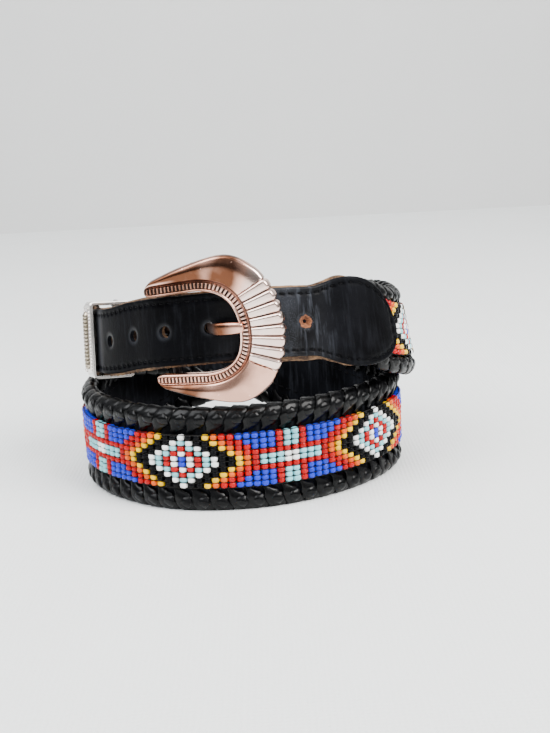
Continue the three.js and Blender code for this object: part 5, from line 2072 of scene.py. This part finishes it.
@dataclass
class BeltTip:
    """The metal sleeve over the strap's end, with a roped rim where the strap goes in."""

    length: float = 12.0
    wall: float = 0.8
    rope: float = 1.1
    rope_lean: float = 35.0
    rope_pitch: float = 1.25
    strand_size: Spot = (1.25, 0.8, 0.62)

    def make(self, finishes: Finishes) -> None:
        """Builds and dresses the tip."""
        end = ROUTE.length_at(TONGUE_END_AT) + GAP
        start = end - GAP - self.length
        middle = (FACE_OUTER + STRAP_BACK) / 2
        hollow = FACE_OUTER - STRAP_BACK + 2 * GAP
        half = BILLET_WIDTH / 2 + 0.6 + GAP
        lengths = np.concatenate([np.linspace(start, end, 9), [end + 0.7, end + 1.4, end + 1.75]])
        outer_half = np.concatenate([np.full(9, half + self.wall), [half + 0.2, half - 1.6, half - 3.2]])
        outer = strap_rings(lengths, np.full(12, middle), outer_half, hollow + 2 * self.wall, 20)
        outer[-1, :, 1] = middle + (outer[-1, :, 1] - middle) * 0.55
        inner_lengths = np.linspace(end, start, 5)
        inner = strap_rings(inner_lengths, np.full(5, middle), np.full(5, half), hollow, 20)
        sleeve = loft("tip sleeve", np.concatenate([outer, inner]), caps=False)
        self.close_ends(sleeve)
        strands = int(2 * half / self.rope_pitch)
        heights = (np.arange(strands) + 0.5) * 2 * half / strands - half
        face = middle + hollow / 2 + self.wall
        places = rows_of(start + self.rope, face, heights)
        ahead, outward, across = turning(-self.rope_lean, 1)[:3, :3].T * np.array(self.strand_size)[:, None]
        moves = move_matrices(places, ahead, across, outward)
        piece = joined("strap_tip", [sleeve, copies("rope", ball(10, 8), moves)])
        flat = spots_of(piece)
        on_face = (flat[:, 1] < face + 0.25) & (flat[:, 1] > middle)
        note(piece, "recess", 0.95 * bell(flat[:, 0], start + self.rope, 1.4) * on_face)
        note_even(piece, tone=0.25)
        lay_flat_piece(piece, 45)
        face_outwards(piece)
        hand_over(piece, "silver_metal", finishes.silver, "belt_tip")

    @staticmethod
    def close_ends(sleeve: Piece) -> None:
        """Closes the sleeve: its outer end, its inner end, and the rim between its two walls."""
        pick(sleeve)
        bpy.ops.object.mode_set(mode="EDIT")
        bpy.ops.mesh.select_all(action="DESELECT")
        bpy.ops.mesh.select_non_manifold()
        bpy.ops.mesh.bridge_edge_loops()
        face_outwards(sleeve)


# The studio

@dataclass
class Studio:
    """The camera at the photograph's angle, the pale floor and the soft light."""

    camera_place: Spot = (0.01149, -0.44395, 0.143)
    pitch: float = 12.9
    roll: float = 3.02
    focal_share: float = 1100 / 733
    sensor_width: float = 36.0

    def make(self, finishes: Finishes) -> None:
        """Builds the camera, the floor, the wall and the lights."""
        camera = bpy.data.objects.new("camera", bpy.data.cameras.new("camera"))
        bpy.context.scene.collection.objects.link(camera)
        camera.data.sensor_width = self.sensor_width
        camera.data.lens = self.sensor_width * self.focal_share
        matrix = shifting(self.camera_place) @ turning(90 - self.pitch, 0) @ turning(-self.roll, 2)
        camera.matrix_world = Matrix(matrix.tolist())
        bpy.context.scene.camera = camera
        self.make_floor(finishes)
        self.make_light()

    def make_floor(self, finishes: Finishes) -> None:
        """Builds the floor and the wall behind it."""
        for name, size, place, turn, material in (
            ("floor", 3.0, (0, 0, -0.0001), (0, 0, 0), finishes.canvas),
            ("wall", 6.0, (0, 1.1, 2.9), (math.pi / 2, 0, 0), finishes.wall),
        ):
            deselect()
            bpy.ops.mesh.primitive_plane_add(size=size, location=place, rotation=turn)
            plane = bpy.context.object
            plane.name = name
            plane.data.materials.append(material)

    def make_light(self) -> None:
        """Places large soft lights and an even sky."""
        lights = (
            ("window light", (0.6, -0.45, 0.75), (0, 0, 0.04), 0.6, 21.0, (1.0, 0.985, 0.96)),
            ("sky light", (-0.55, -0.4, 0.85), (0, 0, 0.04), 0.8, 16.0, (0.96, 0.98, 1.0)),
            ("wall light", (0.0, 0.3, 1.2), (0, 1.1, 0.4), 1.0, 12.0, (1.0, 1.0, 1.0)),
        )
        for name, place, target, size, power, tint in lights:
            lamp = bpy.data.lights.new(name, "AREA")
            lamp.size = size
            lamp.energy = power
            lamp.color = tint
            holder = bpy.data.objects.new(name, lamp)
            bpy.context.scene.collection.objects.link(holder)
            holder.location = place
            aim = Vector(target) - Vector(place)
            holder.rotation_euler = aim.to_track_quat("-Z", "Y").to_euler()
        world = bpy.data.worlds.new("room")
        world.use_nodes = True
        self.shade_sky(Wiring(world.node_tree))
        bpy.context.scene.world = world

    @staticmethod
    def shade_sky(wiring: Wiring) -> None:
        """Makes the room bright above and dark at the height of the belt, as in a room with a high window."""
        place = wiring.node("ShaderNodeTexCoord").outputs["Generated"]
        parts = wiring.fill(wiring.node("ShaderNodeSeparateXYZ"), Vector=place)
        height = parts.outputs["Z"]
        rise = wiring.spread(height, 0.02, 0.6, 0.1, 1.4, "SMOOTHSTEP")
        fall = wiring.spread(height, 0.68, 0.95, 1.0, 0.3, "SMOOTHSTEP")
        strength = wiring.sum_of("MULTIPLY", rise, fall)
        wiring.fill(wiring.tree.nodes["Background"], Strength=strength, Color=(0.93, 0.96, 1.0, 1))


def main() -> None:
    """Builds the whole belt and its studio."""
    logging.basicConfig(level=logging.INFO, format="%(name)s: %(message)s")
    finishes = Finishes()
    Studio().make(finishes)
    core = CoreStrap()
    core.make(finishes)
    BeadStrip(chart_middle=ROUTE.length_at(FRONT_AT) + FRONT_DIAMOND * BEAD_COLUMN).make(finishes)
    for edge in Edge:
        EdgeLacing(edge, core).make(finishes)
    TipStrap().make(finishes)
    plane = BucklePlane()
    BuckleStrap(plane).make(finishes)
    buckle = CastBuckle(plane)
    buckle.make(finishes)
    Prong(buckle).make(finishes)
    Keeper().make(finishes)
    BeltTip().make(finishes)


if __name__ == "__main__":
    main()
